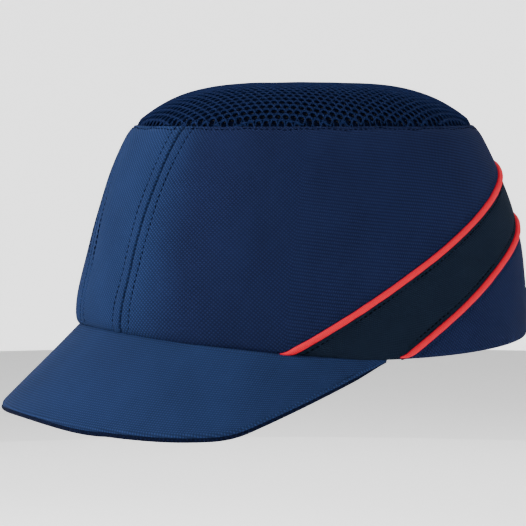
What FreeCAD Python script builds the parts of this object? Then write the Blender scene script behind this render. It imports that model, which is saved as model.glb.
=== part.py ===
import FreeCAD, Part
import math
import os
import Sketcher

# A fabric bump cap with a short peak, a mesh crown and a removable shell.
# Millimetres. +Z is up, the peak points along -Y and the wearer's left is +X.
# The origin is the centre of the head opening, level with the lowest point of the hem.

DIMENSIONS = [
    ("hem_half_length", 109.0, "centre of the head opening to the hem at front or rear"),
    ("hem_half_width", 92.0, "centre of the head opening to the hem at either side"),
    ("oval_step", 4.0, "half width less the radius of the oval's round ends"),
    ("wall_height", 104.8, "hem plane to the seam of the mesh crown"),
    ("length_inset", 25.9, "how far the wall leans in at front and rear"),
    ("width_inset", 24.0, "how far the wall leans in at the sides"),
    ("length_power", 2.2, "how late the front and rear lean in"),
    ("width_power", 2.8, "how late the sides lean in"),
    ("cloth", 1.2, "panel cloth with its lining"),
    ("tape", 0.6, "seam tape"),
    ("hem_low_y", 4.6, "where the hem is lowest"),
    ("hem_front_rise", 10.7, "rise of the hem to the front centre"),
    ("hem_rear_rise", 5.0, "rise of the hem to the rear centre"),
    ("seam_hem_x", 20.1, "front seam to the centre line at the hem"),
    ("seam_top_x", 26.2, "front seam to the centre line at the crown seam"),
    ("upper_edge_y", -63.0, "where the band's upper edge meets the hem plane"),
    ("upper_slope", 0.57, "slope of the band's upper edge"),
    ("lower_edge_y", -1.8, "where the band's lower edge meets the hem plane"),
    ("lower_slope", 0.63, "slope of the band's lower edge"),
    ("piping", 2.2, "width of the corded piping"),
    ("piping_proud", 1.0, "how far the piping stands out of the cloth"),
    ("dome_height", 19.6, "rise of the mesh crown over its seam"),
    ("dome_power", 3.7, "how flat the top of the mesh crown is"),
    ("mesh", 2.5, "thickness of the spacer mesh"),
    ("opening_radius", 48.0, "half-moon opening at the rear"),
    ("binding", 3.0, "width of the opening's binding"),
    ("binding_proud", 0.5, "how far the binding stands out of the cloth"),
    ("peak_drop", 43.8, "angle of the peak below level, degrees"),
    ("peak_height", 83.0, "peak arch, square to the drop direction"),
    ("peak_half_width", 90.5, "half width of the peak arch at the hem"),
    ("peak_shoulder_x", 58.0, "where the peak arch turns down to the sides"),
    ("peak_shoulder_drop", 23.6, "drop of the arch at that shoulder"),
    ("peak_fan", 0.0037, "widening of the peak arch per mm of length"),
    ("peak_front_y", -147.3, "front of the peak"),
    ("peak_front_z", -25.2, "front edge of the peak"),
    ("peak_end_y", -9.0, "where the peak ends run out in the hem"),
    ("peak_edge_radius", 150.0, "side-view radius of the peak's front edge"),
    ("peak_bend_y", -100.0, "where the peak's edge begins to turn up to the side"),
    ("peak_bend_z", -29.2, "height of the edge there"),
    ("peak_bend_radius", 60.0, "side-view radius of that turn"),
    ("peak_rise_y", -82.0, "where the edge begins its straight rise to the hem"),
    ("peak_rise_z", -25.2, "height of the edge there"),
    ("peak_cloth", 0.7, "cover of the peak"),
    ("peak_board_thick", 1.8, "stiffener board of the peak"),
    ("board_margin", 1.6, "cover that wraps past the edge of the board"),
    ("band_clear", 5.4, "outer face of the wall to the sweatband"),
    ("band_thick", 1.6, "sweatband"),
    ("band_height", 32.0, "sweatband, hem to upper edge"),
    ("band_rear_angle", 39.0, "rear centre to the sweatband's ends, degrees"),
    ("foam_rear_y", 5.0, "rear end of the forehead foam"),
    ("hem_tape_height", 12.0, "height of the hem tape"),
    ("crown_tape_height", 9.0, "height of the crown seam tape"),
    ("seam_tape_width", 10.0, "tape inside each front seam"),
    ("label_front_y", -6.0, "front end of the care label"),
    ("label_rear_y", 24.0, "rear end of the care label"),
    ("label_low_z", 46.0, "lower edge of the care label"),
    ("label_high_z", 64.0, "upper edge of the care label"),
    ("strap_inner", 82.9, "strap's inner face from the strap axis"),
    ("strap_thick", 0.9, "webbing strap"),
    ("strap_low", 8.0, "lower edge of the strap"),
    ("strap_width", 16.0, "webbing width"),
    ("strap_right", 56.0, "rear centre to the strap's right end, degrees"),
    ("strap_left", 52.0, "rear centre to the strap's left end, degrees"),
    ("tip_angle", 4.0, "length of the strap tip, degrees"),
    ("tip_proud", 0.15, "tip stands out of the webbing"),
    ("buckle_right", 12.0, "rear centre to the buckle's near end, degrees"),
    ("buckle_left", 31.0, "rear centre to the buckle's far end, degrees"),
    ("buckle_bar", 1.6, "length of the buckle's tab bar, degrees"),
    ("buckle_inner", 81.0, "buckle base from the strap axis"),
    ("buckle_base", 1.4, "thickness of the buckle base"),
    ("buckle_outer", 88.8, "buckle rails beside the lever, from the strap axis"),
    ("buckle_step", 25.0, "rear centre to where the rails step down, degrees"),
    ("buckle_low_outer", 85.0, "stepped-down rails and tab bar from the strap axis"),
    ("buckle_margin", 0.5, "play between the strap and the rails"),
    ("rail", 2.0, "thickness of each buckle rail"),
    ("tab_inner", 84.2, "tab's inner face from the strap axis"),
    ("tab_left", 46.0, "rear centre to the sewn end of the tab, degrees"),
    ("pin_angle", 14.6, "rear centre to the lever pin, degrees"),
    ("pin_reach", 86.7, "lever pin from the strap axis"),
    ("pin_radius", 0.9, "lever pin"),
    ("pin_play", 0.05, "radial play of the lever on its pin"),
    ("barrel_radius", 2.5, "lever barrel around the pin"),
    ("lever_length", 18.0, "pin to the end of the lever"),
    ("lever_thick", 1.8, "lever plate"),
    ("lever_play", 0.3, "play between the lever and each rail"),
    ("lever_curl", 2.0, "how far the lever's end turns outwards"),
    ("shell_half_length", 98.0, "shell at its rim"),
    ("shell_half_width", 83.6, "shell at its rim"),
    ("shell_rim_z", 24.0, "height of the shell's rim"),
    ("shell_height", 94.0, "rim to the top of the shell"),
    ("shell_power", 2.8, "how square the shell's shoulders are"),
    ("shell_thick", 2.0, "moulded shell"),
    ("pad_thick", 5.0, "foam pads in the shell"),
    ("crown_pad_half_width", 34.0, "centre to the side of the crown pad"),
    ("crown_pad_half_length", 48.0, "centre to the front of the crown pad"),
    ("crown_pad_low_z", 90.0, "below the edge of the crown pad"),
    ("wall_pad_half_width", 38.0, "half width of each wall pad"),
    ("wall_pad_low_z", 34.0, "lower edge of the wall pads"),
    ("wall_pad_high_z", 82.0, "upper edge of the wall pads"),
    ("vent_radius", 4.5, "vent holes of the shell"),
    ("vent_pitch", 21.0, "spacing of the vent holes"),
    ("vent_row_z", 62.0, "height of the row of vent holes in the shell's wall"),
]

WALL_STEPS = [0.0, 0.22, 0.42, 0.6, 0.76, 0.89, 1.0]
DOME_SHARES = [1.0, 0.86, 0.7, 0.52, 0.34, 0.18]
SHELL_STEPS = [0.0, 0.3, 0.5, 0.68, 0.82, 0.92, 0.985]
BELOW_HEM = 8.0
FAR = 150.0
BEYOND = "130"

doc = FreeCAD.newDocument("bump_cap")
sheet = doc.addObject("Spreadsheet::Sheet", "Cap")
nodes = []


def fill_sheet():
    for row, (alias, value, meaning) in enumerate(DIMENSIONS, start=1):
        sheet.set("A%d" % row, alias)
        sheet.set("B%d" % row, str(value))
        sheet.set("C%d" % row, meaning)
        sheet.setAlias("B%d" % row, alias)
    doc.recompute()


def number(expression):
    return float(sheet.evalExpression(str(expression)))


def named(piece, label):
    piece.Label = label
    nodes.append(piece)
    return piece


# ---------------------------------------------------------------- sketches

def new_sketch(name, rotation=FreeCAD.Rotation()):
    sketch = doc.addObject("Sketcher::SketchObject", name)
    sketch.Placement = FreeCAD.Placement(FreeCAD.Vector(), rotation)
    return sketch


def bind(sketch, kind, places, expression):
    index = sketch.addConstraint(Sketcher.Constraint(kind, *places, number(expression)))
    sketch.setExpression("Constraints[%d]" % index, expression)


def oval(name, half_length, half_width, inset, height, scale="1"):
    """Four tangent arcs, drawn inside the given half sizes by the inset."""
    inset = "(%s)" % inset
    step = "(Cap.oval_step * %s)" % scale
    end_radius = "(%s - %s)" % (half_width, step)
    end_centre = "(%s - %s)" % (half_length, end_radius)
    side_radius = "(%s - %s / 2 + %s^2 / (2 * %s))" % (half_width, step, end_centre, step)
    radius = number(end_radius) - number(inset)
    side = number(side_radius) - number(inset)
    centre = number(end_centre)
    side_x = number(side_radius) - number(half_width)
    turn = math.atan2(centre, side_x)
    arcs = [
        (0.0, centre, radius, turn, math.pi - turn),
        (side_x, 0.0, side, math.pi - turn, math.pi + turn),
        (0.0, -centre, radius, math.pi + turn, 2 * math.pi - turn),
        (-side_x, 0.0, side, -turn, turn),
    ]
    sketch = new_sketch(name)
    sketch.setExpression("Placement.Base.z", height)
    for x, y, size, start, end in arcs:
        circle = Part.Circle(FreeCAD.Vector(x, y, 0), FreeCAD.Vector(0, 0, 1), size)
        sketch.addGeometry(Part.ArcOfCircle(circle, start, end), False)
    for first in range(4):
        sketch.addConstraint(Sketcher.Constraint("Tangent", first, 2, (first + 1) % 4, 1))
    for arc, sign in ((0, ""), (2, "-")):
        sketch.addConstraint(Sketcher.Constraint("PointOnObject", arc, 3, -2))
        bind(sketch, "DistanceY", (arc, 3), "%s%s" % (sign, end_centre))
        bind(sketch, "Radius", (arc,), "%s - %s" % (end_radius, inset))
    for arc in (1, 3):
        bind(sketch, "Radius", (arc,), "%s - %s" % (side_radius, inset))
    return sketch


def outline(name, rotation, corners):
    """A closed outline. Each corner is x, y and the signed radius of the arc that
    leaves it, positive where the arc turns left, or None for a straight line."""
    sketch = new_sketch(name, rotation)
    points = [FreeCAD.Vector(number(x), number(y), 0) for x, y, _ in corners]
    ends = []
    for index, (_, _, radius) in enumerate(corners):
        start = points[index]
        end = points[(index + 1) % len(points)]
        if radius is None:
            sketch.addGeometry(Part.LineSegment(start, end), False)
            ends.append((1, 2))
        else:
            size = number(radius)
            sketch.addGeometry(arc_between(start, end, size), False)
            ends.append((1, 2) if size > 0 else (2, 1))
    for index, (x, y, radius) in enumerate(corners):
        following = (index + 1) % len(corners)
        sketch.addConstraint(Sketcher.Constraint(
            "Coincident", index, ends[index][1], following, ends[following][0]))
        bind(sketch, "DistanceX", (index, ends[index][0]), x)
        bind(sketch, "DistanceY", (index, ends[index][0]), y)
        if radius is not None:
            bind(sketch, "Radius", (index,), "abs(%s)" % radius)
    return sketch


def arc_between(start, end, radius):
    chord = end.sub(start)
    middle = start.add(end).multiply(0.5)
    left = FreeCAD.Vector(-chord.y, chord.x, 0).normalize()
    height = math.sqrt(radius ** 2 - (chord.Length / 2) ** 2)
    centre = middle.add(left.multiply(math.copysign(height, radius)))
    first, last = (start, end) if radius > 0 else (end, start)
    circle = Part.Circle(centre, FreeCAD.Vector(0, 0, 1), abs(radius))
    return Part.ArcOfCircle(circle, circle.parameter(first), circle.parameter(last))


SIDE_VIEW = FreeCAD.Rotation(FreeCAD.Vector(1, 1, 1), 120)
FRONT_VIEW = FreeCAD.Rotation(FreeCAD.Vector(1, 0, 0), 90)
TOP_VIEW = FreeCAD.Rotation()


# ---------------------------------------------------------------- solids

def loft(name, sections, ruled=False):
    body = doc.addObject("Part::Loft", name)
    body.Sections = sections
    body.Solid = True
    body.Ruled = ruled
    return body


def extrude(name, sketch, forward, backward="0"):
    body = doc.addObject("Part::Extrusion", name)
    body.Base = sketch
    body.DirMode = "Normal"
    body.Solid = True
    body.setExpression("LengthFwd", str(forward))
    body.setExpression("LengthRev", str(backward))
    return body


def side_zone(name, corners):
    return extrude(name, outline(name + "_outline", SIDE_VIEW, corners), FAR, FAR)


def cut(name, base, tool):
    body = doc.addObject("Part::Cut", name)
    body.Base = base
    body.Tool = tool
    return body


def common(name, *shapes):
    body = doc.addObject("Part::MultiCommon", name)
    body.Shapes = list(shapes)
    return body


def box(name, low, high):
    body = doc.addObject("Part::Box", name)
    for side, start, end in zip(("Length", "Width", "Height"), low, high):
        body.setExpression(side, "(%s) - (%s)" % (end, start))
    for axis, start in zip("xyz", low):
        body.setExpression("Placement.Base." + axis, str(start))
    return body


def cylinder(name, radius, length, place, axis=FreeCAD.Vector(0, 0, 1)):
    body = doc.addObject("Part::Cylinder", name)
    body.setExpression("Radius", str(radius))
    body.setExpression("Height", str(length))
    body.Placement.Rotation = FreeCAD.Rotation(FreeCAD.Vector(0, 0, 1), axis)
    for letter, value in zip("xyz", place):
        body.setExpression("Placement.Base." + letter, str(value))
    return body


# ---------------------------------------------------------------- crown wall

def wall_size(hem, inset, power, share):
    if share == 0:
        return "Cap.%s" % hem
    return "(Cap.%s - Cap.%s * %s^Cap.%s)" % (hem, inset, share, power)


def crown_form(name, inset):
    """The solid inside the crown wall, drawn in by the inset."""
    sections = []
    for share in WALL_STEPS:
        long_side = wall_size("hem_half_length", "length_inset", "length_power", share)
        short_side = wall_size("hem_half_width", "width_inset", "width_power", share)
        height = "Cap.wall_height * %s" % share if share else "-%s" % BELOW_HEM
        sections.append(oval("%s_%d" % (name, len(sections)), long_side, short_side, inset, height))
    return loft(name, sections)


def hem_arc(reach, rise, y, lift):
    """Radius of a side-view arc of the hem, and the height at y of that arc lifted by lift."""
    radius = "((%s^2 + Cap.%s^2) / (2 * Cap.%s))" % (reach, rise, rise)
    height = "(%s - sqrt(%s^2 - ((%s) - Cap.hem_low_y)^2) + %s)" % (radius, radius, y, lift)
    return radius, height


def front_hem(lift):
    return hem_arc("(Cap.hem_half_length + Cap.hem_low_y)", "hem_front_rise", "-" + BEYOND, lift)


def rear_hem(lift):
    return hem_arc("(Cap.hem_half_length - Cap.hem_low_y)", "hem_rear_rise", BEYOND, lift)


def hem_zone(name, low, high):
    """The space between two copies of the hem line, one lifted by low and one by high."""
    front_radius, front_low = front_hem(low)
    rear_radius, rear_low = rear_hem(low)
    _, front_high = front_hem(high)
    _, rear_high = rear_hem(high)
    return side_zone(name, [
        ("-" + BEYOND, front_low, front_radius),
        ("Cap.hem_low_y", low, rear_radius),
        (BEYOND, rear_low, None),
        (BEYOND, rear_high, "-" + rear_radius),
        ("Cap.hem_low_y", high, "-" + front_radius),
        ("-" + BEYOND, front_high, None),
    ])


def slope_zone(name, edges):
    """Side-view strip between two sloping lines, each as edge, slope and lift."""
    low, high = edges
    corners = []
    for y, (edge, slope, lift) in (("-" + BEYOND, low), (BEYOND, low), (BEYOND, high), ("-" + BEYOND, high)):
        line = "Cap.%s * ((%s) - Cap.%s)" % (slope, y, edge)
        corners.append((y, "%s + %s * sqrt(1 + Cap.%s^2)" % (line, lift, slope), None))
    return side_zone(name, corners)


def front_zone():
    """Front view between the two front seams, from below the hem to over the crown seam."""
    low = "(Cap.seam_hem_x - (Cap.seam_top_x - Cap.seam_hem_x) * 10 / Cap.wall_height)"
    high = "(Cap.seam_top_x + (Cap.seam_top_x - Cap.seam_hem_x) * 10 / Cap.wall_height)"
    sketch = outline("front_zone_outline", FRONT_VIEW, [
        ("-" + low, "-10", None),
        (low, "-10", None),
        (high, "Cap.wall_height + 10", None),
        ("-" + high, "Cap.wall_height + 10", None),
    ])
    return extrude("front_zone", sketch, FAR)


def seam_tape(side, lining):
    """Tape inside one front seam. side is +1 for the left seam and -1 for the right."""
    name = "left_front_seam_tape" if side > 0 else "right_front_seam_tape"
    low_z = "(Cap.hem_front_rise + Cap.hem_tape_height + 1)"
    high_z = "(Cap.wall_height - Cap.crown_tape_height - 0.5)"
    corners = []
    for height, reach in ((low_z, -0.5), (low_z, 0.5), (high_z, 0.5), (high_z, -0.5)):
        seam = "(Cap.seam_hem_x + (Cap.seam_top_x - Cap.seam_hem_x) * %s / Cap.wall_height)" % height
        corners.append(("%d * (%s + %s * Cap.seam_tape_width)" % (side, seam, reach), height, None))
    if side < 0:
        corners.reverse()
    strip = extrude(name + "_strip", outline(name + "_outline", FRONT_VIEW, corners), FAR)
    named(common(name, lining, strip), name)


def rear_hole(name, radius):
    return cylinder(name, radius, "100", ("0", "50", "0"), FreeCAD.Vector(0, 1, 0))


def build_crown():
    outer = crown_form("crown_outer", "0")
    inner = crown_form("crown_inner", "Cap.cloth")
    lined = crown_form("crown_lined", "Cap.cloth + Cap.tape")
    proud = crown_form("crown_proud", "-Cap.piping_proud")
    bound = crown_form("crown_bound", "-Cap.binding_proud")
    cloth = cut("cloth_wall", outer, inner)
    piped = cut("piping_wall", proud, inner)
    lining = cut("lining_wall", inner, lined)
    edged = cut("binding_wall", bound, lined)
    above_hem = hem_zone("above_hem", "0", "120")
    front = front_zone()
    half = "Cap.piping / 2"
    upper = ("upper_edge_y", "upper_slope")
    lower = ("lower_edge_y", "lower_slope")
    above = slope_zone("above_band", [upper + (half,), upper + ("200",)])
    band = slope_zone("band_zone", [lower + (half,), upper + ("-1 * " + half,)])
    below = slope_zone("below_band", [lower + ("-300",), lower + ("-1 * " + half,)])
    upper_cord = slope_zone("upper_cord", [upper + ("-1 * " + half,), upper + (half,)])
    lower_cord = slope_zone("lower_cord", [lower + ("-1 * " + half,), lower + (half,)])
    halves = {
        "left": box("left_half", ("0", -FAR, "-50"), (FAR, FAR, "200")),
        "right": box("right_half", (-FAR, -FAR, "-50"), ("0", FAR, "200")),
    }
    named(common("front_panel", cloth, front, above_hem), "front_panel")
    trimmed = cut("cloth_behind_front", cloth, front)
    holed = cut("cloth_with_opening", cloth, rear_hole("panel_hole", "Cap.opening_radius + Cap.binding"))
    for side, space in halves.items():
        named(common(side + "_side_panel", trimmed, above, above_hem, space), side + "_side_panel")
        named(common(side + "_rear_panel", holed, below, above_hem, space), side + "_rear_panel")
    named(common("gusset_band", cloth, band, above_hem), "gusset_band")
    named(common("upper_piping", piped, upper_cord, above_hem), "upper_piping")
    named(common("lower_piping", piped, lower_cord, above_hem), "lower_piping")
    rear = box("rear_half", (-FAR, "30", "-50"), (FAR, FAR, "200"))
    ring = cut("binding_ring", rear_hole("binding_disc", "Cap.opening_radius + Cap.binding"),
               rear_hole("opening_disc", "Cap.opening_radius"))
    named(common("rear_opening_binding", edged, ring, above_hem, rear), "rear_opening_binding")
    build_tapes(lining)
    return lined


def build_tapes(lining):
    cutter = rear_hole("tape_hole", "Cap.opening_radius + Cap.binding + 0.5")
    strip = hem_zone("hem_tape_zone", "0.3", "Cap.hem_tape_height")
    named(cut("hem_tape", common("hem_tape_ring", lining, strip), cutter), "hem_tape")
    ring = box("crown_tape_zone", (-FAR, -FAR, "Cap.wall_height - Cap.crown_tape_height"),
               (FAR, FAR, "Cap.wall_height"))
    named(common("crown_seam_tape", lining, ring), "crown_seam_tape")
    for side in (1, -1):
        seam_tape(side, lining)
    label = box("label_zone", (-FAR, "Cap.label_front_y", "Cap.label_low_z"),
                ("0", "Cap.label_rear_y", "Cap.label_high_z"))
    named(common("care_label", lining, label), "care_label")


# ---------------------------------------------------------------- mesh crown

def dome_form(name, lowered):
    sections = []
    for share in DOME_SHARES:
        long_side = "((Cap.hem_half_length - Cap.length_inset) * %s)" % share
        short_side = "((Cap.hem_half_width - Cap.width_inset) * %s)" % share
        height = "Cap.wall_height + Cap.dome_height * (1 - %s^Cap.dome_power) - %s" % (share, lowered)
        sections.append(oval("%s_%d" % (name, len(sections)), long_side, short_side, "0", height, share))
    return loft(name, sections)


def build_mesh_top():
    skin = cut("mesh_skin", dome_form("mesh_outer", "0"), dome_form("mesh_inner", "Cap.mesh"))
    named(skin, "mesh_top")


# ---------------------------------------------------------------- sweatband

def rear_wedge(name, right, left, low, high):
    """A vertical wedge on the strap axis between two angles from the rear centre."""
    centre = "(Cap.hem_half_length - Cap.hem_half_width + Cap.oval_step)"
    corners = [("0", centre, None)]
    for angle in (left, right):
        corners.append(("%s * sin((%s) * 1deg)" % (BEYOND, angle),
                        "%s + %s * cos((%s) * 1deg)" % (centre, BEYOND, angle), None))
    corners[1] = corners[1][:2] + (BEYOND,)
    sketch = outline(name + "_outline", TOP_VIEW, corners)
    body = extrude(name, sketch, "(%s) - (%s)" % (high, low))
    sketch.setExpression("Placement.Base.z", low)
    return body


def build_sweatband():
    outside = crown_form("band_outer", "Cap.band_clear")
    inside = crown_form("band_inner", "Cap.band_clear + Cap.band_thick")
    lined = crown_form("foam_outer", "Cap.cloth + Cap.tape + 0.1")
    strip = hem_zone("band_strip", "1", "Cap.band_height")
    ring = common("sweatband_ring", cut("band_wall", outside, inside), strip)
    gap = rear_wedge("band_gap", "-Cap.band_rear_angle", "Cap.band_rear_angle", "-20", "80")
    named(cut("sweatband", ring, gap), "sweatband")
    foam_strip = hem_zone("foam_strip", "2", "Cap.band_height - 3")
    front_half = box("foam_zone", (-FAR, -FAR, "-50"), (FAR, "Cap.foam_rear_y", "100"))
    wall = cut("foam_wall", lined, outside)
    named(common("sweatband_foam", wall, foam_strip, front_half), "sweatband_foam")


# ---------------------------------------------------------------- peak

def arch(name, along, inset):
    """Cross-section of the peak, square to the way it drops, at a distance along it."""
    fan = "(1 + Cap.peak_fan * (%s))" % along
    shoulder_x = "(Cap.peak_shoulder_x * %s)" % fan
    half_width = "(Cap.peak_half_width * %s)" % fan
    drop = "Cap.peak_shoulder_drop"
    top_radius = "((%s^2 + %s^2) / (2 * %s))" % (shoulder_x, drop, drop)
    side_radius = "((%s - %s) / (1 - %s / %s))" % (half_width, shoulder_x, shoulder_x, top_radius)
    top_y = "(Cap.peak_height - %s)" % top_radius
    lean = "(%s / %s)" % (shoulder_x, top_radius)
    rise = "sqrt(1 - %s^2)" % lean
    side_y = "(%s + (%s - %s) * %s)" % (top_y, top_radius, side_radius, rise)
    outer_x = "(%s - (%s))" % (half_width, inset)
    bend_x = "((%s - (%s)) * %s)" % (top_radius, inset, lean)
    bend_y = "(%s + (%s - (%s)) * %s)" % (top_y, top_radius, inset, rise)
    side_arc = "(%s - (%s))" % (side_radius, inset)
    top_arc = "(%s - (%s))" % (top_radius, inset)
    sketch = outline(name, FreeCAD.Rotation(FreeCAD.Vector(1, 0, 0), 90 + number("Cap.peak_drop")), [
        (outer_x, "-30", None),
        (outer_x, side_y, side_arc),
        (bend_x, bend_y, top_arc),
        ("-" + bend_x, bend_y, side_arc),
        ("-" + outer_x, side_y, None),
        ("-" + outer_x, "-30", None),
    ])
    sketch.setExpression("Placement.Base.y", "-(%s) * cos(Cap.peak_drop * 1deg)" % along)
    sketch.setExpression("Placement.Base.z", "-(%s) * sin(Cap.peak_drop * 1deg)" % along)
    return sketch


def peak_form(name, inset):
    return loft(name, [arch(name + "_near", "-24", inset), arch(name + "_far", "140", inset)], True)


def peak_edge_zone(name, margin):
    """Side view of what lies above the peak's free edge and below the hem."""
    front_radius, front_z = front_hem("-" + margin)
    front_arc = "(Cap.peak_edge_radius - %s)" % margin
    bend_arc = "(Cap.peak_bend_radius - %s)" % margin
    return side_zone(name, [
        ("Cap.peak_end_y - %s" % margin, "-" + margin, "-" + front_radius),
        ("-" + BEYOND, front_z, None),
        ("Cap.peak_front_y + %s" % margin, "Cap.peak_front_z + 20", None),
        ("Cap.peak_front_y + %s" % margin, "Cap.peak_front_z + %s" % margin, front_arc),
        ("Cap.peak_bend_y", "Cap.peak_bend_z + %s" % margin, bend_arc),
        ("Cap.peak_rise_y", "Cap.peak_rise_z + %s" % margin, None),
    ])


def build_peak():
    top = peak_form("peak_top", "0")
    board_top = peak_form("peak_board_top", "Cap.peak_cloth")
    board_low = peak_form("peak_board_low", "Cap.peak_cloth + Cap.peak_board_thick")
    bottom = peak_form("peak_bottom", "2 * Cap.peak_cloth + Cap.peak_board_thick")
    middle = peak_form("peak_middle", "Cap.peak_cloth + Cap.peak_board_thick / 2")
    full = peak_edge_zone("peak_zone", "0.01")
    inside = peak_edge_zone("board_zone", "Cap.board_margin")
    board = common("peak_board", cut("board_sheet", board_top, board_low), inside)
    named(board, "peak_board")
    upper = common("upper_cover_sheet", cut("upper_sheet", top, middle), full)
    lower = common("lower_cover_sheet", cut("lower_sheet", middle, bottom), full)
    named(cut("peak_top_cover", upper, board), "peak_top_cover")
    named(cut("peak_under_cover", lower, board), "peak_under_cover")


# ---------------------------------------------------------------- rear strap and buckle

def curved_block(name, inner, outer, low, high, right, left):
    """Part of a ring about the strap axis, between two angles from the rear centre."""
    centre = "Cap.hem_half_length - Cap.hem_half_width + Cap.oval_step"
    place = ("0", centre, low)
    height = "(%s) - (%s)" % (high, low)
    ring = cut(name + "_ring", cylinder(name + "_outside", outer, height, place),
               cylinder(name + "_inside", inner, height, place))
    wedge = rear_wedge(name + "_wedge", right, left, "-20", "80")
    return common(name, ring, wedge)


def strap_axis_y():
    return number("Cap.hem_half_length - Cap.hem_half_width + Cap.oval_step")


def build_strap():
    top = "Cap.strap_low + Cap.strap_width"
    outer = "Cap.strap_inner + Cap.strap_thick"
    strap = curved_block("strap", "Cap.strap_inner", outer, "Cap.strap_low", top,
                         "-Cap.strap_right", "Cap.strap_left")
    named(strap, "strap")
    tip = curved_block("strap_tip", "Cap.strap_inner - Cap.tip_proud", outer + " + Cap.tip_proud",
                       "Cap.strap_low", top, "Cap.strap_left", "Cap.strap_left + Cap.tip_angle")
    named(tip, "strap_tip")


def build_buckle_tab(lined_form):
    low = "Cap.strap_low"
    high = "Cap.strap_low + Cap.strap_width"
    sector = rear_wedge("tab_sector", "Cap.buckle_left", "Cap.tab_left", low, high)
    centre = "Cap.hem_half_length - Cap.hem_half_width + Cap.oval_step"
    hollow = cylinder("tab_hollow", "Cap.tab_inner", "100", ("0", centre, "-10"))
    named(cut("buckle_tab", common("tab_piece", lined_form, sector), hollow), "buckle_tab")


def at_pin(piece, low):
    """Place a piece drawn about the lever pin: local X along the strap, local Y outwards."""
    angle = math.radians(number("Cap.pin_angle"))
    reach = number("Cap.pin_reach")
    base = FreeCAD.Vector(reach * math.sin(angle), strap_axis_y() + reach * math.cos(angle), number(low))
    turn = FreeCAD.Rotation(FreeCAD.Vector(0, 0, 1), -number("Cap.pin_angle"))
    piece.Placement = FreeCAD.Placement(base, turn)
    return piece


def pin_cylinder(name, radius, low, high):
    body = doc.addObject("Part::Cylinder", name)
    body.setExpression("Radius", radius)
    body.setExpression("Height", "(%s) - (%s)" % (high, low))
    return at_pin(body, low)


def build_buckle_frame():
    top = "(Cap.strap_low + Cap.strap_width + Cap.buckle_margin)"
    low = "(Cap.strap_low - Cap.buckle_margin)"
    under = "(%s - Cap.rail)" % low
    over = "(%s + Cap.rail)" % top
    base_outer = "Cap.buckle_inner + Cap.buckle_base"
    lever_side = ("Cap.buckle_right", "Cap.buckle_step")
    tab_side = ("Cap.buckle_step", "Cap.buckle_left")
    blocks = [
        curved_block("buckle_base", "Cap.buckle_inner", base_outer, under, over, lever_side[0], tab_side[1]),
        curved_block("buckle_tab_bar", "Cap.tab_inner", "Cap.buckle_low_outer", low, top,
                     "Cap.buckle_left - Cap.buckle_bar", "Cap.buckle_left"),
    ]
    for rail, start, end in (("lower", under, low), ("upper", top, over)):
        for outer, side in (("buckle_outer", lever_side), ("buckle_low_outer", tab_side)):
            name = "%s_rail_to_%s" % (rail, outer)
            blocks.append(curved_block(name, base_outer, "Cap." + outer, start, end, *side))
    fused = doc.addObject("Part::MultiFuse", "buckle_blocks")
    fused.Shapes = blocks
    fused.Refine = True
    bore = pin_cylinder("frame_bore", "Cap.pin_radius", under, over)
    named(cut("buckle_frame", fused, bore), "buckle_frame")
    named(pin_cylinder("lever_pin", "Cap.pin_radius", under, over), "lever_pin")


def build_lever():
    """A cam lever: a barrel on the pin, a plate over the strap and a turned-out end."""
    body = doc.addObject("PartDesign::Body", "buckle_lever")
    plane = next(item for item in body.Origin.OriginFeatures if item.Role == "XY_Plane")
    height = "Cap.strap_width + 2 * Cap.buckle_margin - 2 * Cap.lever_play"
    barrel = body.newObject("Sketcher::SketchObject", "lever_barrel_sketch")
    barrel.AttachmentSupport = [(plane, "")]
    barrel.MapMode = "FlatFace"
    for ring, size in ((0, "Cap.barrel_radius"), (1, "Cap.pin_radius + Cap.pin_play")):
        circle = Part.Circle(FreeCAD.Vector(), FreeCAD.Vector(0, 0, 1), number(size))
        barrel.addGeometry(circle, False)
        barrel.addConstraint(Sketcher.Constraint("Coincident", ring, 3, -1, 1))
        bind(barrel, "Radius", (ring,), size)
    pad = body.newObject("PartDesign::Pad", "lever_barrel")
    pad.Profile = barrel
    pad.setExpression("Length", height)
    plate = body.newObject("Sketcher::SketchObject", "lever_plate_sketch")
    plate.AttachmentSupport = [(plane, "")]
    plate.MapMode = "FlatFace"
    low = "(Cap.barrel_radius - Cap.lever_thick)"
    corners = [
        ("Cap.barrel_radius * 0.6", low),
        ("Cap.lever_length * 0.8", low),
        ("Cap.lever_length", low + " + Cap.lever_curl"),
        ("Cap.lever_length - 0.6", "Cap.barrel_radius + Cap.lever_curl"),
        ("Cap.lever_length * 0.8 - 0.6", "Cap.barrel_radius"),
        ("Cap.barrel_radius * 0.3", "Cap.barrel_radius * 0.95"),
    ]
    points = [FreeCAD.Vector(number(x), number(y), 0) for x, y in corners]
    for index, point in enumerate(points):
        plate.addGeometry(Part.LineSegment(point, points[(index + 1) % len(points)]), False)
    for index, (x, y) in enumerate(corners):
        plate.addConstraint(Sketcher.Constraint("Coincident", index, 2, (index + 1) % len(corners), 1))
        bind(plate, "DistanceX", (index, 1), x)
        bind(plate, "DistanceY", (index, 1), y)
    sheet_pad = body.newObject("PartDesign::Pad", "lever_plate")
    sheet_pad.Profile = plate
    sheet_pad.setExpression("Length", height)
    body.Tip = sheet_pad
    at_pin(body, "Cap.strap_low - Cap.buckle_margin + Cap.lever_play")
    named(body, "buckle_lever")


# ---------------------------------------------------------------- shell and pads

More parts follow.
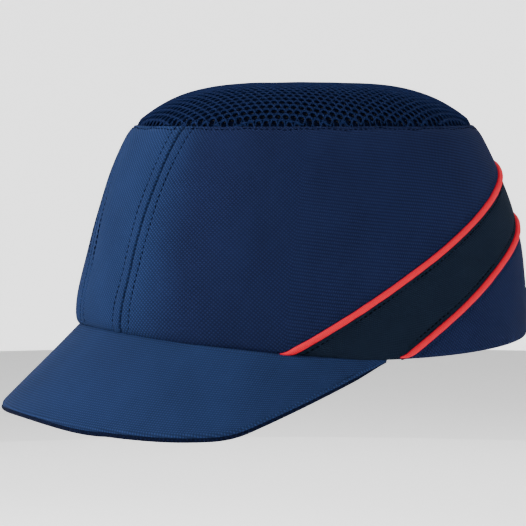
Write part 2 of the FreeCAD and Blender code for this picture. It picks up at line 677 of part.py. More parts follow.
def shell_form(name, inset, clip=0.0):
    sections = []
    for share in SHELL_STEPS:
        scale = "(1 - %s^Cap.shell_power)^(1 / Cap.shell_power)" % share if share else "1"
        long_side = "(Cap.shell_half_length * %s)" % scale
        short_side = "(Cap.shell_half_width * %s)" % scale
        lowered = 0 if share else clip
        height = "Cap.shell_rim_z + (Cap.shell_height - (%s)) * %s - %s" % (inset, share, lowered)
        sections.append(oval("%s_%d" % (name, len(sections)), long_side, short_side, inset, height, scale))
    return loft(name, sections)


def vent_holes():
    """Three rows of holes over the top and one row along each wall."""
    drills = []
    for row in (-1, 0, 1):
        for column in (-2, -1, 0, 1, 2):
            place = ("%d * Cap.vent_pitch" % row, "%d * Cap.vent_pitch" % column, "80")
            drills.append(cylinder("top_vent_%d" % len(drills), "Cap.vent_radius", "60", place))
    for side in (1, -1):
        for column in (-2, -1, 0, 1, 2):
            place = ("0", "%d * Cap.vent_pitch" % column, "Cap.vent_row_z")
            axis = FreeCAD.Vector(side, 0, 0)
            drills.append(cylinder("wall_vent_%d" % len(drills), "Cap.vent_radius", BEYOND, place, axis))
        for column in (-1, 0, 1):
            place = ("%d * Cap.vent_pitch" % column, "0", "Cap.vent_row_z")
            axis = FreeCAD.Vector(0, side, 0)
            drills.append(cylinder("end_vent_%d" % len(drills), "Cap.vent_radius", BEYOND, place, axis))
    group = doc.addObject("Part::Compound", "vent_drills")
    group.Links = drills
    return group


def build_insert():
    outer = shell_form("shell_outer", "0")
    inner = shell_form("shell_inner", "Cap.shell_thick", 1)
    named(cut("shell", cut("shell_skin", outer, inner), vent_holes()), "shell")
    pad_inner = shell_form("pad_inner", "Cap.shell_thick + Cap.pad_thick", 2)
    lining = cut("pad_wall", inner, pad_inner)
    low, high = "Cap.wall_pad_low_z", "Cap.wall_pad_high_z"
    half = "Cap.wall_pad_half_width"
    zones = {
        "crown_pad": (("-Cap.crown_pad_half_width", "-Cap.crown_pad_half_length", "Cap.crown_pad_low_z"),
                      ("Cap.crown_pad_half_width", "Cap.crown_pad_half_length", BEYOND)),
        "front_pad": (("-" + half, "-" + BEYOND, low), (half, "0", high)),
        "rear_pad": (("-" + half, "0", low), (half, BEYOND, high)),
        "left_pad": (("0", "-" + half, low), (BEYOND, half, high)),
        "right_pad": (("-" + BEYOND, "-" + half, low), ("0", half, high)),
    }
    for name, (low, high) in zones.items():
        named(common(name, lining, box(name + "_zone", low, high)), name)


# ---------------------------------------------------------------- check and write

def check_document():
    for item in doc.Objects:
        bad = [state for state in item.State if state in ("Invalid", "Error")]
        if bad:
            raise RuntimeError("%s is %s" % (item.Name, bad))
    for piece in nodes:
        shape = piece.Shape
        if shape.isNull() or not shape.isValid() or not shape.Solids:
            raise RuntimeError("%s has no valid solid" % piece.Label)


def write_parts():
    os.makedirs("parts", exist_ok=True)
    for piece in nodes:
        piece.Shape.exportStep("parts/%s.step" % piece.Label)
        print("%-24s %d solid, %8.0f mm3" % (piece.Label, len(piece.Shape.Solids), piece.Shape.Volume))


fill_sheet()
crown_lined = build_crown()
build_mesh_top()
build_sweatband()
build_peak()
build_strap()
build_buckle_tab(crown_lined)
build_buckle_frame()
build_lever()
build_insert()
doc.recompute()
check_document()
write_parts()
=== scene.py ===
import math

import bpy
import numpy as np
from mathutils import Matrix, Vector

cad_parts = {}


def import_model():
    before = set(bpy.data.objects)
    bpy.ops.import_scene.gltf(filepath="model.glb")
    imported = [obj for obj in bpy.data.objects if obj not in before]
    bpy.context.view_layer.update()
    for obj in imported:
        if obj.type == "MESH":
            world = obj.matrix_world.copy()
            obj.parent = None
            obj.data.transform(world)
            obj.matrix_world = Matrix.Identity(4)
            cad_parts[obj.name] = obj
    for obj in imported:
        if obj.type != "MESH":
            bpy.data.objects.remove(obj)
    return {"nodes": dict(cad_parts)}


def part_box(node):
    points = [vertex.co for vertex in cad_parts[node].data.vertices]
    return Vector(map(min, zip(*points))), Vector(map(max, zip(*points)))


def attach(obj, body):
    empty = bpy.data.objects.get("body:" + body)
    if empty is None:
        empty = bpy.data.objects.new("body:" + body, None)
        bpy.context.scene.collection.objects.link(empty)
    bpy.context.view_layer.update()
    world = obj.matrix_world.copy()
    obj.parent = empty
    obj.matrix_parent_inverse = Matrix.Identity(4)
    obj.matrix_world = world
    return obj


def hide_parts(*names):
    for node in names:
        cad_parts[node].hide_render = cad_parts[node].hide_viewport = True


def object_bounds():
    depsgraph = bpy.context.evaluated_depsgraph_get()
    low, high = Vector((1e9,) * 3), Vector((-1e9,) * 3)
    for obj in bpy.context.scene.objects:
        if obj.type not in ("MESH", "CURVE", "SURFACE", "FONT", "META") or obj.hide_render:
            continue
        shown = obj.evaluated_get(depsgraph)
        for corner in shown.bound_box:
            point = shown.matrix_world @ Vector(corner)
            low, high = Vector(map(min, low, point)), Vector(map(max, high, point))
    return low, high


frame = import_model()
CAD_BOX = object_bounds()

# Metres. The peak points along -Y, the wearer's left is +X, and z = 0 is the lowest point of the hem.
MM = 0.001
seam_low, seam_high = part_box("mesh_top")
front_low, front_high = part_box("front_panel")
rear_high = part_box("left_rear_panel")[1]

TOP_Z = seam_low.z                      # seam of the mesh crown
TOP_HALF = (seam_high.y, seam_high.x)   # half length and half width there
HEM_HALF = (-front_low.y, rear_high.x)  # half length and half width at the hem
DOME = 19.6 * MM
DOME_POWER = 3.7                        # how flat the top of the mesh crown is
OVAL_POWER = 2.24                       # between an ellipse (2) and a rounded oblong
LENGTH_POWER, WIDTH_POWER = 2.2, 2.8    # how late front and sides lean in
HEM_LOW_Y = 4.6 * MM
HEM_FRONT_RISE, HEM_REAR_RISE = 10.7 * MM, 5.0 * MM
SEAM_HEM_X, SEAM_TOP_X = 20.1 * MM, front_high.x
UPPER_EDGE = (-63.0 * MM, 0.57)         # where the band's edge meets z = 0, and its slope
LOWER_EDGE = (-1.8 * MM, 0.63)
OPENING_RADIUS = 51.0 * MM              # half-moon opening with its binding
CLOTH = 1.0 * MM
STITCH_GAP = 5.6 * MM                   # front seam to each of its rows of stitches
EDGE_STITCH = 1.8 * MM                  # mesh seam to the row below it
BAND_STITCH = 3.4 * MM                  # band edges to the rows inside them


# ---- crown shape

def hem_z(y):
    front = HEM_FRONT_RISE * ((y - HEM_LOW_Y) / (HEM_HALF[0] + HEM_LOW_Y)) ** 2
    rear = HEM_REAR_RISE * ((y - HEM_LOW_Y) / (HEM_HALF[0] - HEM_LOW_Y)) ** 2
    return np.where(y < HEM_LOW_Y, front, rear)


def unit(v):
    return v / np.linalg.norm(v, axis=-1, keepdims=True)


def oval_reach(cos, sin):
    """Distance from the middle to the oval of half size 1, in the direction of cos and sin."""
    return (np.abs(cos) ** OVAL_POWER + np.abs(sin) ** OVAL_POWER) ** (-1 / OVAL_POWER)


def wall(theta, z):
    """Point of the crown wall. theta is 0 at the front centre, a quarter turn at the left side."""
    share = np.clip(z / TOP_Z, 0, 1.2)
    half_y = HEM_HALF[0] - (HEM_HALF[0] - TOP_HALF[0]) * share ** LENGTH_POWER
    half_x = HEM_HALF[1] - (HEM_HALF[1] - TOP_HALF[1]) * share ** WIDTH_POWER
    cos, sin = np.cos(theta), np.sin(theta)
    k = oval_reach(cos, sin)
    return np.stack([half_x * k * sin, -half_y * k * cos, z + 0 * k], -1)


def wall_normal(theta, z):
    step = 1e-3
    around = wall(theta + step, z) - wall(theta - step, z)
    up = wall(theta, z + 1e-4) - wall(theta, z - 1e-4)
    return unit(np.cross(around, up))


def solve_theta_z(theta, height_of):
    """Height of the wall point at theta that lies on a side-view line z = height_of(y)."""
    z = np.zeros_like(theta)
    for _ in range(6):
        z = height_of(wall(theta, z)[..., 1])
    return z


def edge_line(edge):
    return lambda y: edge[1] * (y - edge[0])


def theta_where(test, low, high):
    """The angle between low and high where test changes from negative to positive."""
    for _ in range(40):
        middle = (low + high) / 2
        if test(middle) > 0:
            high = middle
        else:
            low = middle
    return (low + high) / 2


def seam_theta(z):
    """Angle of the left front seam at a height."""
    x = SEAM_HEM_X + (SEAM_TOP_X - SEAM_HEM_X) * z / TOP_Z
    low, high = np.zeros_like(z), np.full_like(z, 1.2)
    for _ in range(30):
        middle = (low + high) / 2
        beyond = wall(middle, z)[..., 0] > x
        high = np.where(beyond, middle, high)
        low = np.where(beyond, low, middle)
    return (low + high) / 2


def hem_theta(edge):
    """Angle where a band edge meets the hem on the left side."""
    def above(theta):
        t = np.array(theta)
        y = wall(t, solve_theta_z(t, hem_z))[..., 1]
        return float(edge_line(edge)(y) - hem_z(y))
    return theta_where(above, 0.2, 2.6)


# ---- cloth relief

def smooth_noise(points, seed, scale):
    """Smooth value noise from summed sines, repeatable and cheap on arrays."""
    rng = np.random.default_rng(seed)
    total = np.zeros(points.shape[:-1])
    for octave in range(2):
        for _ in range(5):
            direction = rng.normal(size=3)
            direction *= 2 * math.pi / (scale * 0.5 ** octave) / np.linalg.norm(direction)
            total += np.sin(points @ direction + rng.uniform(0, 7)) * 0.5 ** octave
    return total / 5


def distance_to(points, line):
    """Distance from each point to the nearest of a dense polyline's points."""
    flat = points.reshape(-1, 3)
    best = np.full(len(flat), 1e9)
    for start in range(0, len(line), 64):
        block = line[start:start + 64]
        gap = ((flat[:, None, :] - block[None]) ** 2).sum(-1).min(1)
        best = np.minimum(best, gap)
    return np.sqrt(best).reshape(points.shape[:-1])


def bell(distance, centre, width):
    return np.exp(-((distance - centre) / width) ** 2)


def lengths_along(points):
    """Distance from a line's start to each of its points."""
    return np.concatenate([[0], np.cumsum(np.linalg.norm(np.diff(points, axis=0), axis=1))])


def values_at(places, along, values):
    return np.stack([np.interp(places, along, values[:, k]) for k in range(3)], -1)


def dense(points):
    """The same line with its points 0.7 mm apart."""
    along = lengths_along(points)
    places = np.linspace(0, along[-1], max(int(along[-1] / (0.7 * MM)), 2))
    return values_at(places, along, points)


def mirrored(points):
    return points * np.array([-1, 1, 1])


def seam_lines():
    z = np.linspace(0, TOP_Z, 60)
    front = wall(seam_theta(z), z)
    theta = np.linspace(0, 2 * math.pi, 400)
    top = wall(theta, np.full_like(theta, TOP_Z))
    hem = wall(theta, solve_theta_z(theta, hem_z))
    bands = []
    for edge in (UPPER_EDGE, LOWER_EDGE):
        start = hem_theta(edge)
        around = np.linspace(start, 2 * math.pi - start, 300)
        bands.append(wall(around, solve_theta_z(around, edge_line(edge))))
    upper, lower = (float(solve_theta_z(np.array(math.pi), edge_line(e))) for e in (UPPER_EDGE, LOWER_EDGE))
    z_back = np.linspace(upper, TOP_Z, 30)
    z_low = np.linspace(OPENING_RADIUS, lower, 20)
    pi = np.full(30, math.pi)
    lines = {
        "left_front": front, "right_front": mirrored(front), "top": top, "hem": hem,
        "upper": bands[0], "lower": bands[1],
        "back": wall(pi, z_back), "low_back": wall(pi[:20], z_low),
    }
    return {name: dense(points) for name, points in lines.items()}


LINES = seam_lines()

# Ridges and grooves beside the seams: height, distance from the seam and width, in millimetres.
RELIEF = [
    (("left_front", "right_front"), [(-0.8, 0, 0.6), (0.16, 3.0, 2.2), (-0.3, STITCH_GAP / MM, 0.8)]),
    (("upper", "lower"), [(-0.7, 0, 1.5), (-0.5, BAND_STITCH / MM, 0.7)]),
    (("top",), [(-0.3, EDGE_STITCH / MM, 0.7), (0.2, 0.6, 0.6)]),
    (("back", "low_back"), [(-1.0, 0, 0.9), (0.35, 2.5, 1.8)]),
]


def relief(points):
    """How far the cloth stands out of the plain wall, from its seams, stitching and slack."""
    out = np.zeros(points.shape[:-1])
    for names, ridges in RELIEF:
        for name in names:
            d = distance_to(points, LINES[name]) / MM
            for height, centre, width in ridges:
                out += height * bell(d, centre, width)
    return out * MM + slack(points)


def slack(points):
    """Broad, soft unevenness of cloth over the shell, with the hollow over the brow."""
    y, z = points[..., 1], points[..., 2]
    uneven = smooth_noise(points, 3, 95 * MM) * 0.75 + smooth_noise(points, 8, 38 * MM) * 0.28
    uneven = uneven * (0.4 + np.sin(math.pi * np.clip(z / TOP_Z, 0, 1)))
    brow = bell(y, -HEM_HALF[0], 26 * MM) * bell(z, 62 * MM, 13 * MM)
    swell = bell(y, -HEM_HALF[0], 34 * MM) * bell(z, 19 * MM, 16 * MM)
    return (uneven + 0.2 * brow + 2.6 * swell) * MM


# ---- mesh building

def in_scene(name, data):
    thing = bpy.data.objects.new(name, data)
    bpy.context.scene.collection.objects.link(thing)
    return thing


def new_mesh(name, verts, faces, uvs=None):
    mesh = bpy.data.meshes.new(name)
    mesh.from_pydata([tuple(v) for v in verts], [], [tuple(f) for f in faces])
    if uvs is not None:
        layer = mesh.uv_layers.new(name="grain")
        loops = np.zeros(len(mesh.loops), dtype=np.int32)
        mesh.loops.foreach_get("vertex_index", loops)
        layer.data.foreach_set("uv", np.asarray(uvs, float)[loops].ravel())
    mesh.update()
    mesh.polygons.foreach_set("use_smooth", [True] * len(mesh.polygons))
    return in_scene(name, mesh)


def grid_faces(rows, columns, wrap_columns=False):
    faces = []
    for r in range(rows - 1):
        for c in range(columns if wrap_columns else columns - 1):
            low, high = r * columns, (r + 1) * columns
            c2 = (c + 1) % columns
            faces.append((low + c, low + c2, high + c2, high + c))
    return faces


def grid_uv(points):
    """Arc-length coordinates in metres, so that a weave keeps its real size."""
    rows, columns = points.shape[:2]
    across = np.linalg.norm(np.diff(points, axis=1), axis=-1).mean(0)
    up = np.linalg.norm(np.diff(points, axis=0), axis=-1)
    u = np.concatenate([[0], np.cumsum(across)])[None, :].repeat(rows, 0)
    v = np.concatenate([np.zeros((1, columns)), np.cumsum(up, 0)])
    return np.stack([u, v], -1).reshape(-1, 2)


def cloth_sheet(name, points, uvs=None, thickness=CLOTH):
    """A grid of points as cloth, with its outer face on them."""
    rows, columns = points.shape[:2]
    uvs = grid_uv(points) if uvs is None else uvs
    piece = new_mesh(name, points.reshape(-1, 3), grid_faces(rows, columns), uvs)
    solid = piece.modifiers.new("cloth", "SOLIDIFY")
    solid.thickness = thickness
    solid.offset = -1
    solid.use_even_offset = False
    return piece


def closed_strip(name, rings):
    """A bar from a list of equal closed cross-sections, with capped ends."""
    rings = np.asarray(rings)
    count, size = rings.shape[:2]
    faces = grid_faces(count, size, wrap_columns=True)
    faces.append(tuple(range(size - 1, -1, -1)))
    faces.append(tuple((count - 1) * size + k for k in range(size)))
    uvs = np.stack(np.meshgrid(lengths_along(rings[0]), lengths_along(rings.mean(1))), -1)
    return outward(new_mesh(name, rings.reshape(-1, 3), faces, uvs.reshape(-1, 2)))


def outward(piece):
    """Turns a closed mesh's faces outwards."""
    mesh = piece.data
    volume = 0.0
    co = np.array([v.co for v in mesh.vertices])
    for polygon in mesh.polygons:
        index = polygon.vertices
        for k in range(1, len(index) - 1):
            volume += np.dot(co[index[0]], np.cross(co[index[k]], co[index[k + 1]]))
    if volume < 0:
        mesh.flip_normals()
    return piece


def tube(name, centre, radius, sides, normals):
    """A round cord along a line of points, with its radius at each of them."""
    tangent = unit(np.gradient(centre, axis=0))
    side = unit(np.cross(tangent, normals))
    up = np.cross(side, tangent)
    angle = np.linspace(0, 2 * math.pi, sides, endpoint=False)
    ring = up[:, None] * np.cos(angle)[None, :, None] + side[:, None] * np.sin(angle)[None, :, None]
    return closed_strip(name, centre[:, None] + ring * radius[:, None, None])


STITCH_PITCH, STITCH_LENGTH = 2.6 * MM, 1.9 * MM


def stitches(name, line, normals, seed, radius=0.26 * MM):
    """A row of thread stitches, each a small rounded bar half sunk in the cloth."""
    along = lengths_along(line)
    count = int(along[-1] / STITCH_PITCH)
    rng = np.random.default_rng(seed)
    places = (np.arange(count) + 0.5) * along[-1] / count
    ends = []
    for sign in (-0.5, 0.5):
        ends.append(values_at(np.clip(places + sign * STITCH_LENGTH, 0, along[-1]), along, line))
    normal = unit(values_at(places, along, normals))
    tangent = unit(ends[1] - ends[0])
    side = np.cross(tangent, normal)
    middle = (ends[0] + ends[1]) / 2 + side * rng.normal(0, 0.06 * MM, (count, 1))
    half = np.linalg.norm(ends[1] - ends[0], axis=1)[:, None] / 2
    # Along half the stitch, then width and lift as shares of the thread's radius.
    profile = [(-1.0, 0.25, -0.6), (-0.7, 0.85, 0.0), (0.0, 1.0, 0.35), (0.7, 0.85, 0.0), (1.0, 0.25, -0.6)]
    angle = np.linspace(0, 2 * math.pi, 6, endpoint=False)
    verts, faces = [], []
    for share, width, lift in profile:
        for a in angle:
            offset = side * math.cos(a) * width * radius + normal * (math.sin(a) * width + lift) * radius
            verts.append(middle + tangent * half * share + offset)
    verts = np.stack(verts, 1)
    block = len(profile) * 6
    single = grid_faces(len(profile), 6, wrap_columns=True)
    single += [tuple(range(5, -1, -1)), tuple(range(block - 6, block))]
    for index in range(count):
        faces += [tuple(v + index * block for v in face) for face in single]
    return outward(new_mesh(name, verts.reshape(-1, 3), faces))


# ---- materials

def new_material(name):
    material = bpy.data.materials.new(name)
    material.use_nodes = True
    return material, material.node_tree, material.node_tree.nodes["Principled BSDF"]


def add(tree, kind, **values):
    node = tree.nodes.new(kind)
    for key, value in values.items():
        if hasattr(node, key):
            setattr(node, key, value)
        else:
            node.inputs[key.replace("_", " ")].default_value = value
    return node


def calc(tree, operation, *values, clamp=False):
    """Output of a math node. Its values are numbers or outputs of other nodes."""
    node = add(tree, "ShaderNodeMath", operation=operation, use_clamp=clamp)
    for socket, value in zip(node.inputs, values):
        if isinstance(value, (int, float)):
            socket.default_value = value
        else:
            tree.links.new(value, socket)
    return node.outputs[0]


def grain_vector(tree, across, along):
    """Cloth coordinates in units of two lengths in metres."""
    source = add(tree, "ShaderNodeUVMap", uv_map="grain")
    mapping = add(tree, "ShaderNodeMapping")
    mapping.inputs["Scale"].default_value = (1 / across, 1 / along, 1)
    tree.links.new(source.outputs["UV"], mapping.inputs["Vector"])
    return mapping


def grain_noise(tree, across, along, detail):
    noise = add(tree, "ShaderNodeTexNoise", Scale=1.0, Detail=detail)
    tree.links.new(grain_vector(tree, across, along).outputs["Vector"], noise.inputs["Vector"])
    return noise.outputs["Fac"]


# Painted shade on the navy cloth: the angles round from the front where its darkening along the sides begins
# and where it is full.
SIDE_SHADE_FROM, SIDE_SHADE_TO = 0.22, 0.56     # radians round from the front


def painted_side_shade(tree, colour, shade_tint):
    """Painted shade: the colour as it is over the brow, blended along the sides into the colour multiplied by
    the shade tint, where the light falls off.
    """
    place = add(tree, "ShaderNodeNewGeometry")
    split = add(tree, "ShaderNodeSeparateXYZ")
    tree.links.new(place.outputs["Position"], split.inputs["Vector"])
    sideways = calc(tree, "ABSOLUTE", split.outputs["X"])
    forward = calc(tree, "MULTIPLY", split.outputs["Y"], -1)
    shade_amount = add(tree, "ShaderNodeMapRange", interpolation_type="SMOOTHSTEP")
    shade_amount.inputs["From Min"].default_value = SIDE_SHADE_FROM
    shade_amount.inputs["From Max"].default_value = SIDE_SHADE_TO
    tree.links.new(calc(tree, "ARCTAN2", sideways, forward), shade_amount.inputs["Value"])
    product = add(tree, "ShaderNodeMix", data_type="RGBA", blend_type="MULTIPLY")
    product.inputs["B"].default_value = (*shade_tint, 1)
    tree.links.new(colour, product.inputs["A"])
    tree.links.new(shade_amount.outputs["Result"], product.inputs["Factor"])
    return product.outputs["Result"]


WAVES_PER_UNIT = 0.314                  # wave texture scale that gives one band per unit


def cloth_material(name, base, light, pitch=1.1 * MM, angle=35.0, roughness=0.85, sheen=0.005, gloss=0.06,
                   bump=0.6, side_shade_tint=None):
    """Woven cloth of two colours, with uneven dye and flecks. An optional tint darkens it along the sides and
    back as painted shade.
    """
    material, tree, shader = new_material(name)
    shader.inputs["Roughness"].default_value = roughness
    shader.inputs["Sheen Weight"].default_value = sheen
    shader.inputs["Sheen Roughness"].default_value = 0.45
    shader.inputs["Specular IOR Level"].default_value = gloss
    shader.inputs["IOR"].default_value = 1.15
    yarns = []
    for turn in (angle, angle - 90):
        mapping = grain_vector(tree, pitch, pitch)
        mapping.inputs["Rotation"].default_value = (0, 0, math.radians(turn))
        wave = add(tree, "ShaderNodeTexWave", wave_type="BANDS", bands_direction="X",
                   Scale=WAVES_PER_UNIT, Distortion=0.6, Detail=1.0, Detail_Scale=1.5)
        tree.links.new(mapping.outputs["Vector"], wave.inputs["Vector"])
        yarns.append(wave.outputs["Fac"])
    weave = calc(tree, "MULTIPLY", *yarns)
    blotch = grain_noise(tree, 22 * MM, 30 * MM, 4.0)
    fleck = grain_noise(tree, 0.5 * MM, 2.2 * MM, 2.0)
    mix = add(tree, "ShaderNodeMix", data_type="RGBA")
    mix.inputs["A"].default_value = (*base, 1)
    mix.inputs["B"].default_value = (*light, 1)
    dye = calc(tree, "MULTIPLY_ADD", blotch, 0.4, -0.15)
    dyed_weave = calc(tree, "MULTIPLY_ADD", weave, 1.1, dye)
    tree.links.new(calc(tree, "MULTIPLY_ADD", fleck, 0.25, dyed_weave, clamp=True), mix.inputs["Factor"])
    colour = mix.outputs["Result"]
    if side_shade_tint:
        colour = painted_side_shade(tree, colour, side_shade_tint)
    tree.links.new(colour, shader.inputs["Base Color"])
    raised = add(tree, "ShaderNodeBump", Strength=bump, Distance=0.25 * MM)
    tree.links.new(calc(tree, "ADD", weave, fleck), raised.inputs["Height"])
    tree.links.new(raised.outputs["Normal"], shader.inputs["Normal"])
    return material


def moulded_material(name, base, roughness=0.5, grain=0.25, spot=0.4 * MM, gloss=0.5):
    """Moulded plastic or foam with a fine texture and faint scuffing."""
    material, tree, shader = new_material(name)
    place = add(tree, "ShaderNodeNewGeometry")
    shader.inputs["Specular IOR Level"].default_value = gloss
    texture = add(tree, "ShaderNodeTexNoise", Scale=1 / spot, Detail=3.0)
    scuff = add(tree, "ShaderNodeTexNoise", Scale=1 / (25 * MM), Detail=5.0)
    for noise in (texture, scuff):
        tree.links.new(place.outputs["Position"], noise.inputs["Vector"])
    ramp = add(tree, "ShaderNodeMapRange")
    ramp.inputs["To Min"].default_value = roughness - 0.1
    ramp.inputs["To Max"].default_value = roughness + 0.15
    tree.links.new(scuff.outputs["Fac"], ramp.inputs["Value"])
    tree.links.new(ramp.outputs["Result"], shader.inputs["Roughness"])
    mix = add(tree, "ShaderNodeMix", data_type="RGBA")
    mix.inputs["A"].default_value = (*[c * 0.8 for c in base], 1)
    mix.inputs["B"].default_value = (*[min(c * 1.25, 1) for c in base], 1)
    tree.links.new(scuff.outputs["Fac"], mix.inputs["Factor"])
    tree.links.new(mix.outputs["Result"], shader.inputs["Base Color"])
    bump = add(tree, "ShaderNodeBump", Strength=grain, Distance=0.1 * MM)
    tree.links.new(texture.outputs["Fac"], bump.inputs["Height"])
    tree.links.new(bump.outputs["Normal"], shader.inputs["Normal"])
    return material


# The navy cloth carries painted shade: its colour is darkened by a tint along the sides and back, where the
# key light falls off.
NAVY = cloth_material("navy_twill", (0.0042, 0.0070, 0.0190), (0.0120, 0.0254, 0.0790), pitch=1.25 * MM,
                      side_shade_tint=(0.72, 0.56, 0.61))
NAVY_PEAK = cloth_material("navy_twill_peak", (0.0045, 0.0076, 0.0200), (0.0118, 0.0236, 0.0720),
                           pitch=1.2 * MM, angle=0.0)
# A darker copy of the peak's navy cloth for the under cover: painted shade for the peak's underside and the
# dark rim below its edge.
NAVY_UNDER_PAINTED_SHADE = cloth_material("navy_twill_under_painted_shade", (0.0015, 0.0021, 0.0060), (0.0030, 0.0050, 0.0180),
                            pitch=1.2 * MM)
BAND = cloth_material("dark_twill", (0.0026, 0.0046, 0.0090), (0.0070, 0.0118, 0.0222), pitch=1.2 * MM,
                      angle=10.0, roughness=0.8, gloss=0.03)
RED = cloth_material("red_piping", (0.36, 0.0045, 0.0135), (0.50, 0.011, 0.027), pitch=0.6 * MM, angle=45.0,
                     roughness=0.6, bump=0.2)
THREAD = moulded_material("navy_thread", (0.0007, 0.0014, 0.0055), 0.9, gloss=0.01)
BLACK_THREAD = moulded_material("black_thread", (0.0006, 0.0009, 0.0016), 0.9, gloss=0.02)
NET = cloth_material("air_mesh", (0.0030, 0.0054, 0.0200), (0.0066, 0.0130, 0.0455), pitch=0.5 * MM,
                     roughness=0.8, gloss=0.02)
NET_BACK = cloth_material("air_mesh_back", (0.0006, 0.0014, 0.006), (0.0016, 0.0036, 0.014), pitch=0.5 * MM,
                          roughness=0.9, gloss=0.01)
TAPE = cloth_material("binding_tape", (0.002, 0.0035, 0.012), (0.007, 0.012, 0.03), pitch=0.8 * MM,
                      angle=45.0)
TERRY = cloth_material("sweatband_terry", (0.004, 0.004, 0.005), (0.018, 0.018, 0.021), pitch=1.3 * MM,
                       angle=45.0, roughness=0.95, sheen=0.1, bump=0.8)
WEBBING = cloth_material("webbing", (0.004, 0.005, 0.008), (0.018, 0.02, 0.028), pitch=1.6 * MM, angle=45.0,
                         roughness=0.7, gloss=0.2, bump=0.8)
LABEL = cloth_material("label_satin", (0.55, 0.55, 0.53), (0.8, 0.8, 0.78), pitch=0.4 * MM, roughness=0.45,
                       gloss=0.4, bump=0.1)
FOAM = moulded_material("pad_foam", (0.012, 0.012, 0.014), 0.9, 0.6, 0.9 * MM)
SHELL = moulded_material("shell_plastic", (0.007, 0.009, 0.014), 0.5)
PLASTIC = moulded_material("buckle_plastic", (0.012, 0.012, 0.014), 0.4)
STEEL = moulded_material("pin_steel", (0.55, 0.55, 0.57), 0.3, 0.1)
STEEL.node_tree.nodes["Principled BSDF"].inputs["Metallic"].default_value = 1.0
BOARD = moulded_material("peak_board_plastic", (0.004, 0.006, 0.014), 0.7, gloss=0.1)


def finished(piece, body, material, slot, *nodes):
    """Material, body and the CAD nodes that the piece stands for. slot is not used."""
    piece.data.materials.clear()
    piece.data.materials.append(material)
    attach(piece, body)
    if nodes:
        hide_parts(*nodes)
    return piece


# ---- crown panels

FOLD_WIDTH, FOLD_DEPTH = 1.1 * MM, 1.3 * MM


def edge_fold(distance):
    """Depth to which cloth turns in beside its cut edge."""
    return FOLD_DEPTH * np.clip(1 - distance / FOLD_WIDTH, 0, 1) ** 2


def ease(count, sharp=0.92):
    """Evenly spread shares of 0 to 1 that crowd together a little at both ends."""
    t = np.linspace(-1, 1, count)
    return (np.sin(t * math.pi / 2 * sharp) / math.sin(math.pi / 2 * sharp) + 1) / 2


HEM_ROLL, HEM_ROLL_HEIGHT = 2.2 * MM, 5.0 * MM
TOP_ROLL, TOP_ROLL_HEIGHT = 1.2 * MM, 7.0 * MM


def edge_roll(points):
    """How far the crown's rounded lower and upper edges turn in. The lower one is deepest over the peak."""
    front = np.clip((HEM_LOW_Y - points[..., 1]) / (60 * MM), 0.35, 1)
    above = np.clip((points[..., 2] - hem_z(points[..., 1])) / HEM_ROLL_HEIGHT, 0, 1)
    below_top = np.clip((TOP_Z - points[..., 2]) / TOP_ROLL_HEIGHT, 0, 1)
    return HEM_ROLL * front * (1 - np.sqrt(1 - (1 - above) ** 2)) + TOP_ROLL * (1 - below_top) ** 2


def panel(node, theta, z, seams, material=None, slot="navy_twill", lift=None):
    """One panel of the crown, folded in along its seams. lift is extra relief for its points."""
    base = wall(theta, z)
    depth = edge_roll(base) - relief(base)
    if lift:
        depth = depth - lift(base)
    for line in seams:
        depth = depth + edge_fold(distance_to(base, LINES[line]))
    points = base - wall_normal(theta, z) * depth[..., None]
    finished(cloth_sheet(node + "_cloth", points, grid_uv(base)), "cap", material or NAVY, slot, node)


def front_panel():
    share = ease(56)[None, :]
    height = ease(84)[:, None]
    z = np.zeros((84, 56))
    for _ in range(5):
        limit = seam_theta(z)
        theta = limit * (2 * share - 1)
        bottom = hem_z(wall(theta, z)[..., 1])
        z = bottom + (TOP_Z - bottom) * height
    panel("front_panel", theta, z, ("left_front", "right_front", "top"))


def side_panel(side, name):
    """From the front seam to the centre back, above the band. side is 1 on the left, -1 on the right."""
    share = ease(250, 0.96)[None, :]
    height = ease(84)[:, None]
    z = np.zeros((84, 250))
    for _ in range(6):
        theta = seam_theta(z) * (1 - share) + math.pi * share
        y = wall(theta, z)[..., 1]
        bottom_theta = seam_theta(np.zeros((1, 250))) * (1 - share) + math.pi * share
        low = solve_theta_z(bottom_theta, lambda y: np.maximum(hem_z(y), edge_line(UPPER_EDGE)(y)))
        z = low + (TOP_Z - low) * height
    if side < 0:
        theta, z = -theta[:, ::-1], z[:, ::-1]
    seam = "left_front" if side > 0 else "right_front"
    panel(name, theta, z, (seam, "top", "upper", "back"))


def gusset_band():
    share = np.linspace(-1, 1, 420)[None, :]
    across = ease(34)[:, None]
    start = (hem_theta(LOWER_EDGE), hem_theta(UPPER_EDGE))
    first = start[0] + (start[1] - start[0]) * across
    theta = math.pi + share * (math.pi - first)
    z = np.zeros_like(theta)
    for _ in range(8):
        y = wall(theta, z)[..., 1]
        z = edge_line(LOWER_EDGE)(y) * (1 - across) + edge_line(UPPER_EDGE)(y) * across
        z = np.maximum(z, hem_z(y))
    panel("gusset_band", theta, z, ("upper", "lower"), BAND, "dark_twill", band_wrinkles)


def band_wrinkles(points):
    """Short creases across the band where it is pulled between its two seams."""
    fade = np.clip(1 - points[..., 2] / (70 * MM), 0.15, 1)
    across = points[..., 1] * 0.85 + points[..., 2] * 0.5
    wave = np.sin(across / (5.5 * MM) + 2 * smooth_noise(points, 21, 40 * MM))
    return 0.55 * MM * wave * fade * (0.6 + 0.5 * smooth_noise(points, 22, 30 * MM))


